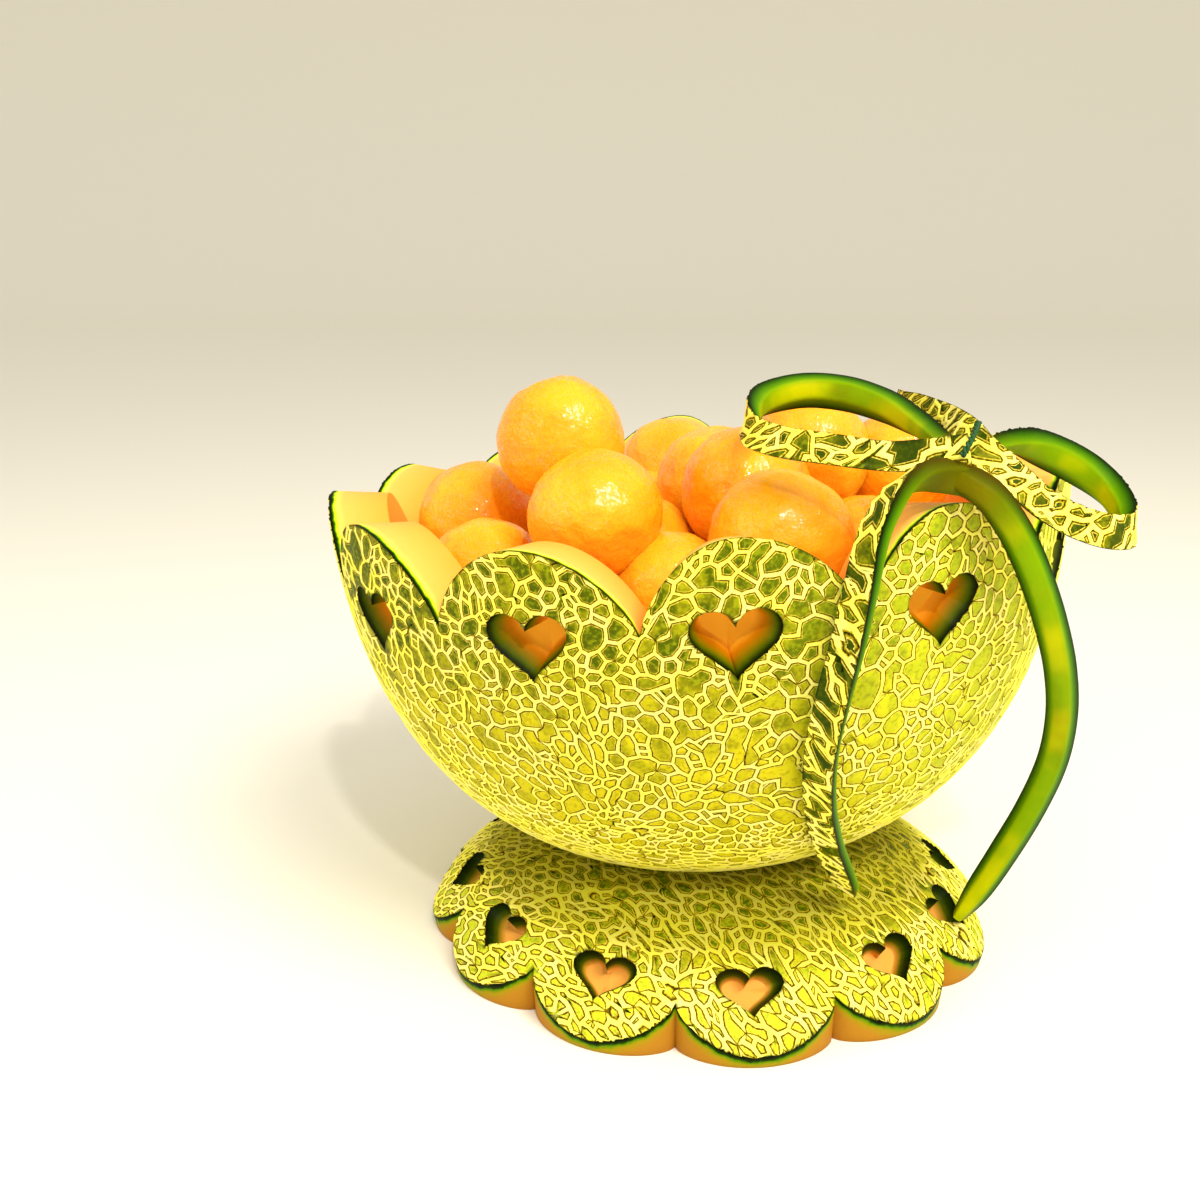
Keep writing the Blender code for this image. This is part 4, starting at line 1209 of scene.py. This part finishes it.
def make_balls():
    """The heap of scooped melon balls, and the pulp that fills the bowl under it."""
    settings = bpy.context.scene.cantaloupe_balls
    draw = random.Random(11)
    shape = bmesh.new()
    layer = shape.verts.layers.float_vector.new("skin_mm")
    (broad_scale, broad_share), (small_scale, small_share) = BROAD_LUMPS, SMALL_LUMPS
    for index, (place, radius) in enumerate(ball_places(settings.loose_balls)):
        fine = 5 if index < FINE_BALLS else 4
        new = bmesh.ops.create_icosphere(shape, subdivisions=fine, radius=radius)["verts"]
        shift = Vector([draw.uniform(-300, 300) for _ in range(3)])
        flat = Vector([draw.uniform(-1, 1) for _ in range(3)]).normalized()
        for vert in new:
            out = vert.co.normalized()
            own = vert.co / MM + shift
            broad = noise.noise(own * broad_scale) * settings.unevenness * broad_share
            small = noise.noise(own * small_scale) * settings.unevenness * small_share
            shaved = max(out.dot(flat) - SHAVED_FROM, 0.0) * radius * SHAVED_SHARE
            vert[layer] = own
            vert.co = place + out * (radius + broad + small - shaved)
    piece = piece_from("melon_ball_heap", shape, [shared("scooped_melon_flesh_wet", ball_material)])
    piece.data.shade_smooth()
    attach(piece, "root")
    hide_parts("melon_balls")
    height, radius, length = melon_arc(WALL + GAP)
    top = CORE_RIM - BOWL_CENTRE.z
    start = np.interp(-top, -height, length)
    azimuths = np.arange(CORE_COLUMNS) * 2.0 * math.pi / CORE_COLUMNS
    rows = [(0.0, CORE_TOP - BOWL_CENTRE.z)]
    for share in np.linspace(0.0, 1.0, 9):
        down = start + (length[-1] - start) * share
        rows.append((np.interp(down, length, radius), np.interp(down, length, height)))
    grid = np.stack([spun(azimuths, ring, level) for ring, level in rows])
    core = piece_from("pulp_under_balls", closed_skin(grid), list(piece.data.materials))
    write_attribute(core.data, "skin_mm", "FLOAT_VECTOR", points_of(core.data) / MM)
    core.data.shade_smooth()
    core.data.transform(BOWL_PLACE)
    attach(core, "root")


def spline_value(values, position):
    """A smooth curve through the values (Catmull-Rom), at a position counted in stations."""
    index = min(int(position), len(values) - 2)
    t = position - index
    before = values[max(index - 1, 0)]
    start, end = values[index], values[index + 1]
    after = values[min(index + 2, len(values) - 1)]
    return 0.5 * (2 * start + (end - before) * t
                  + (2 * before - 5 * start + 4 * end - after) * t * t
                  + (3 * start - before - 3 * end + after) * t ** 3)


def spline_run(values, position):
    """The direction of that curve at a position."""
    ahead = spline_value(values, min(position + 0.05, len(values) - 1))
    return (ahead - spline_value(values, max(position - 0.05, 0))).normalized()


def strip_track(stations, width):
    """Along a strip, the distance walked, and there its centre, side, look and half width."""
    centres = [Vector(place) * MM for place, _, _ in stations]
    looks = [Vector(look).normalized() for _, look, _ in stations]
    shares = [share for _, _, share in stations]
    last = len(stations) - 1
    walked, rows = [0.0], []
    for position in np.linspace(0.0, last, last * 24 + 1):
        centre = spline_value(centres, position)
        run = spline_run(centres, position)
        look = spline_value(looks, position)
        look = (look - run * look.dot(run)).normalized()
        if rows:
            walked.append(walked[-1] + (centre - Vector(rows[-1][:3])).length)
        half = width * spline_value(shares, position) / 2.0
        rows.append((*centre, *run.cross(look), *look, half))
    start = np.array(rows[0])
    start[:3] -= np.array(Vector(rows[1][:3]) - Vector(rows[0][:3])) / walked[1] * KNOT_LAP
    return np.array([-KNOT_LAP] + walked), np.array([start] + rows)


def flat_depth(points):
    """Depth below a flat net and its outward direction."""
    return -points[:, 2], np.tile((0.0, 0.0, 1.0), (len(points), 1))


def strip_section(flesh_share):
    """Points round a strip's block, as (across, through), from 0 on its net to -1 on its flesh."""
    top = PROUD / STRIP_THICKNESS
    right = [(1.0 + (flesh_share - 1.0) * down, -0.05 - 0.9 * down)
             for down in (0.0, 0.25, 0.5, 0.75, 0.97)]
    under = [(x * flesh_share, -1.0 - 0.08 * (1 - x * x)) for x in np.linspace(0.92, -0.92, 9)]
    left = [(-across, through) for across, through in reversed(right)]
    return [(-1.0, top), (1.0, top), *right, *under, *left]


def strip_block(name, walked, half, flesh_share, materials):
    """The strip laid flat, with Y along it and its netted side up: what its net is trimmed to."""
    section = strip_section(flesh_share)
    start, length = walked[0], walked[-1] - walked[0]
    shape = bmesh.new()
    ring = bmesh.ops.create_circle(shape, cap_ends=True, radius=1.0, segments=len(section))["verts"]
    for vert, (across, through) in zip(ring, section):
        vert.co = (across, start, through * STRIP_THICKNESS)
    grown = bmesh.ops.extrude_face_region(shape, geom=ring[0].link_faces[:1])["geom"]
    far = [item for item in grown if isinstance(item, bmesh.types.BMVert)]
    bmesh.ops.translate(shape, verts=far, vec=(0.0, length, 0.0))
    if not any(len(face.verts) > 4 and face.verts[0].co.y == ring[0].co.y for face in shape.faces):
        bmesh.ops.contextual_create(shape, geom=ring)
    along = [edge for edge in shape.edges if edge.calc_length() > 0.5 * length
             and abs(edge.verts[0].co.y - edge.verts[1].co.y) > 0.5 * length]
    rows = round(length / bpy.context.scene.cantaloupe_bow.row_step)
    bmesh.ops.subdivide_edges(shape, edges=along, cuts=rows, use_grid_fill=True)
    for vert in shape.verts:
        vert.co.x *= float(np.interp(vert.co.y, walked, half))
    bmesh.ops.recalc_face_normals(shape, faces=shape.faces)
    block = piece_from(name + "_block", shape, materials)
    block.data.polygons.foreach_set("material_index", [FLESH] * len(block.data.polygons))
    return block


def make_strip(name, node, stations, width, flesh_share, number):
    """A strip of rind: a flat netted sheet trimmed to the strip, then bent along its stations."""
    walked, track = strip_track(stations, width)
    length = walked[-1] - walked[0]
    materials = strip_materials()
    sheet = flat_sheet(width * 1.3 + 8 * MM, length + 10 * MM, stretch=1.1, seed=30 + number)
    bmesh.ops.translate(sheet, verts=sheet.verts, vec=(0.0, walked[0] + length / 2.0, 0.0))
    net = raise_net(cells_of(sheet), -3.0 * STRIP_THICKNESS, flat_depth, seed=40 + number,
                    wide=1.35)
    for place in np.arange(walked[0], walked[-1], BEND_STEP):
        bmesh.ops.bisect_plane(net, geom=net.verts[:] + net.edges[:] + net.faces[:],
                               plane_co=(0.0, place, 0.0), plane_no=(0.0, 1.0, 0.0))
    strip = piece_from(name, net, materials)
    boolean(strip, strip_block(name, walked, track[:, 9], flesh_share, materials), "INTERSECT")
    mesh = strip.data
    points = points_of(mesh)
    write_attribute(mesh, "depth_mm", "FLOAT", -points[:, 2] / MM)
    write_attribute(mesh, "cut_edge", "FLOAT", cut_edges(mesh))
    write_attribute(mesh, "skin_mm", "FLOAT_VECTOR", points / MM + (0.0, 0.0, 60.0 * number))
    place = np.stack([np.interp(points[:, 1], walked, column) for column in track.T], axis=1)
    bent = place[:, 0:3] + place[:, 3:6] * points[:, :1]
    bent += place[:, 6:9] * (points[:, 2:] + STRIP_THICKNESS / 2.0)
    mesh.vertices.foreach_set("co", bent.astype(np.float32).ravel())
    mesh.update()
    smooth_but_carved(mesh)
    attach(strip, "root")
    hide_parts(node)


def make_bow():
    """The two loops and the two tails of the bow."""
    make_strip("left_loop", "bow_loop_left", LOOP_LEFT, LOOP_WIDTH, THIN_FLESH, 1)
    make_strip("right_loop", "bow_loop_right", LOOP_RIGHT, LOOP_WIDTH, THIN_FLESH, 2)
    make_strip("left_tail", "bow_tail_left", TAIL_LEFT, TAIL_WIDTH, FULL_FLESH, 3)
    make_strip("right_tail", "bow_tail_right", TAIL_RIGHT, TAIL_WIDTH, THIN_FLESH, 4)


def make_tie():
    """The short thread at the knot: two plies twisted together."""
    route = [Vector(place) * MM for place in TIE_ROUTE]
    steps, around = 40, 10
    ply, twist = 0.36 * MM, 2.2 * MM
    shape = bmesh.new()
    for strand in (0, 1):
        rows, walked, last = [], 0.0, None
        for step in range(steps + 1):
            position = step / steps * (len(route) - 1)
            centre = spline_value(route, position)
            run = spline_run(route, position)
            side = run.cross(Vector((0, 0, 1))).normalized()
            lift = side.cross(run)
            walked += (centre - last).length if last else 0.0
            last = centre
            turn = 2.0 * math.pi * walked / twist + math.pi * strand
            middle = centre + (side * math.cos(turn) + lift * math.sin(turn)) * ply * 0.8
            rows.append([tuple(middle + (side * math.cos(a) + lift * math.sin(a)) * ply)
                         for a in np.arange(around) * 2.0 * math.pi / around])
        for end in (0, -1):
            middle = tuple(np.mean(rows[end], axis=0))
            rows.insert(0 if end == 0 else len(rows), [middle] * around)
        part = closed_skin(np.array(rows))
        mesh = bpy.data.meshes.new("ply")
        part.to_mesh(mesh)
        part.free()
        shape.from_mesh(mesh)
        bpy.data.meshes.remove(mesh)
    tie = piece_from("knot_thread", shape, [shared("green_cotton_thread", thread_material)])
    tie.data.shade_smooth()
    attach(tie, "root")
    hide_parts("bow_tie")


def soft_light(name, place, target, size, power, colour):
    """Adds a round area lamp that looks at its target."""
    light = bpy.data.lights.new(name, "AREA")
    light.shape = "DISK"
    light.size = size
    light.energy = power
    light.color = hex_linear(colour)
    lamp = bpy.data.objects.new(name, light)
    lamp.location = place
    lamp.rotation_euler = (Vector(target) - Vector(place)).to_track_quat("-Z", "Y").to_euler()
    bpy.context.scene.collection.objects.link(lamp)


def make_stage():
    """The pale floor and backdrop, soft lights and the camera of the photograph."""
    scene = bpy.context.scene
    settings = scene.cantaloupe_stage
    shape = bmesh.new()
    bmesh.ops.create_grid(shape, x_segments=1, y_segments=1, size=4.0)
    far = [edge for edge in shape.edges if all(v.co.y > 1.0 for v in edge.verts)]
    raised = bmesh.ops.extrude_edge_only(shape, edges=far)["geom"]
    bmesh.ops.translate(shape, vec=(0, 0.0, 3.0),
                        verts=[item for item in raised if isinstance(item, bmesh.types.BMVert)])
    bmesh.ops.bevel(shape, geom=far, offset=1.0, segments=12, profile=0.5, affect="EDGES",
                    material=-1)
    bmesh.ops.recalc_face_normals(shape, faces=shape.faces)
    material, _, shader = new_material("matt_pale_paper")
    shader.inputs["Base Color"].default_value = (*hex_linear("#f4f1e6"), 1.0)
    shader.inputs["Roughness"].default_value = 0.8
    floor = piece_from("pale_floor", shape, [material])
    floor.data.shade_smooth()
    soft_light("key", (0.35, -0.45, 0.75), (0, 0, 0.08), 0.45, settings.key_power, "#fffaf0")
    soft_light("small", (0.1, -0.55, 0.62), (0, 0, 0.1), 0.035, settings.glint_power, "#fffaf0")
    soft_light("fill", (-0.7, -0.4, 0.5), (0, 0, 0.08), 0.8, settings.fill_power, "#fffaf2")
    world = bpy.data.worlds.new("studio")
    world.use_nodes = True
    back = world.node_tree.nodes["Background"]
    back.inputs["Color"].default_value = (*hex_linear("#fff8ea"), 1.0)
    back.inputs["Strength"].default_value = 0.8
    scene.world = world
    camera = bpy.data.objects.new("camera", bpy.data.cameras.new("camera"))
    camera.location = CAMERA_PLACE
    camera.rotation_euler = CAMERA_TURN
    camera.data.lens = CAMERA_LENS
    camera.data.sensor_width = 36.0
    camera.data.clip_start = 0.01
    scene.collection.objects.link(camera)
    scene.camera = camera
    scene.view_settings.view_transform = "Standard"


# ---------------------------------------------------------------- operators and panel

class CANTALOUPE_OT_stage(bpy.types.Operator):
    """Add the pale floor, the soft lights and the camera"""
    bl_idname = "cantaloupe.stage"
    bl_label = "Stage"

    def execute(self, context):
        make_stage()
        return {"FINISHED"}


class CANTALOUPE_OT_foot(bpy.types.Operator):
    """Build the scalloped foot that the bowl stands on"""
    bl_idname = "cantaloupe.foot"
    bl_label = "Foot"

    def execute(self, context):
        make_foot()
        return {"FINISHED"}


class CANTALOUPE_OT_bowl(bpy.types.Operator):
    """Build the carved melon bowl with its petals and hearts"""
    bl_idname = "cantaloupe.bowl"
    bl_label = "Bowl"

    def execute(self, context):
        make_bowl()
        return {"FINISHED"}


class CANTALOUPE_OT_balls(bpy.types.Operator):
    """Fill the bowl with melon balls"""
    bl_idname = "cantaloupe.balls"
    bl_label = "Melon balls"

    def execute(self, context):
        make_balls()
        return {"FINISHED"}


class CANTALOUPE_OT_bow(bpy.types.Operator):
    """Build the two loops and two tails of the rind bow"""
    bl_idname = "cantaloupe.bow"
    bl_label = "Bow"

    def execute(self, context):
        make_bow()
        return {"FINISHED"}


class CANTALOUPE_OT_tie(bpy.types.Operator):
    """Add the green thread at the knot"""
    bl_idname = "cantaloupe.tie"
    bl_label = "Thread"

    def execute(self, context):
        make_tie()
        return {"FINISHED"}


GROUPS = {
    "cantaloupe_net": NetSettings,
    "cantaloupe_carving": CarvingSettings,
    "cantaloupe_balls": BallSettings,
    "cantaloupe_bow": BowSettings,
    "cantaloupe_stage": StageSettings,
}
OPERATORS = (CANTALOUPE_OT_stage, CANTALOUPE_OT_foot, CANTALOUPE_OT_bowl, CANTALOUPE_OT_balls,
             CANTALOUPE_OT_bow, CANTALOUPE_OT_tie)


class CANTALOUPE_PT_panel(bpy.types.Panel):
    bl_label = "Cantaloupe"
    bl_idname = "CANTALOUPE_PT_panel"
    bl_space_type = "VIEW_3D"
    bl_region_type = "UI"
    bl_category = "Cantaloupe"

    def draw(self, context):
        for operator in OPERATORS:
            self.layout.operator(operator.bl_idname)
        for name, group in GROUPS.items():
            box = self.layout.box()
            for setting in group.__annotations__:
                box.prop(getattr(context.scene, name), setting)


def register():
    for kind in (*GROUPS.values(), *OPERATORS, CANTALOUPE_PT_panel):
        bpy.utils.register_class(kind)
    for name, group in GROUPS.items():
        setattr(bpy.types.Scene, name, PointerProperty(type=group))


def unregister():
    for name in GROUPS:
        delattr(bpy.types.Scene, name)
    for kind in reversed((*GROUPS.values(), *OPERATORS, CANTALOUPE_PT_panel)):
        bpy.utils.unregister_class(kind)


def main():
    register()
    for step in ("stage", "foot", "bowl", "balls", "bow", "tie"):
        getattr(bpy.ops.cantaloupe, step)()
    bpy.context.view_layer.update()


if __name__ == "__main__":
    main()
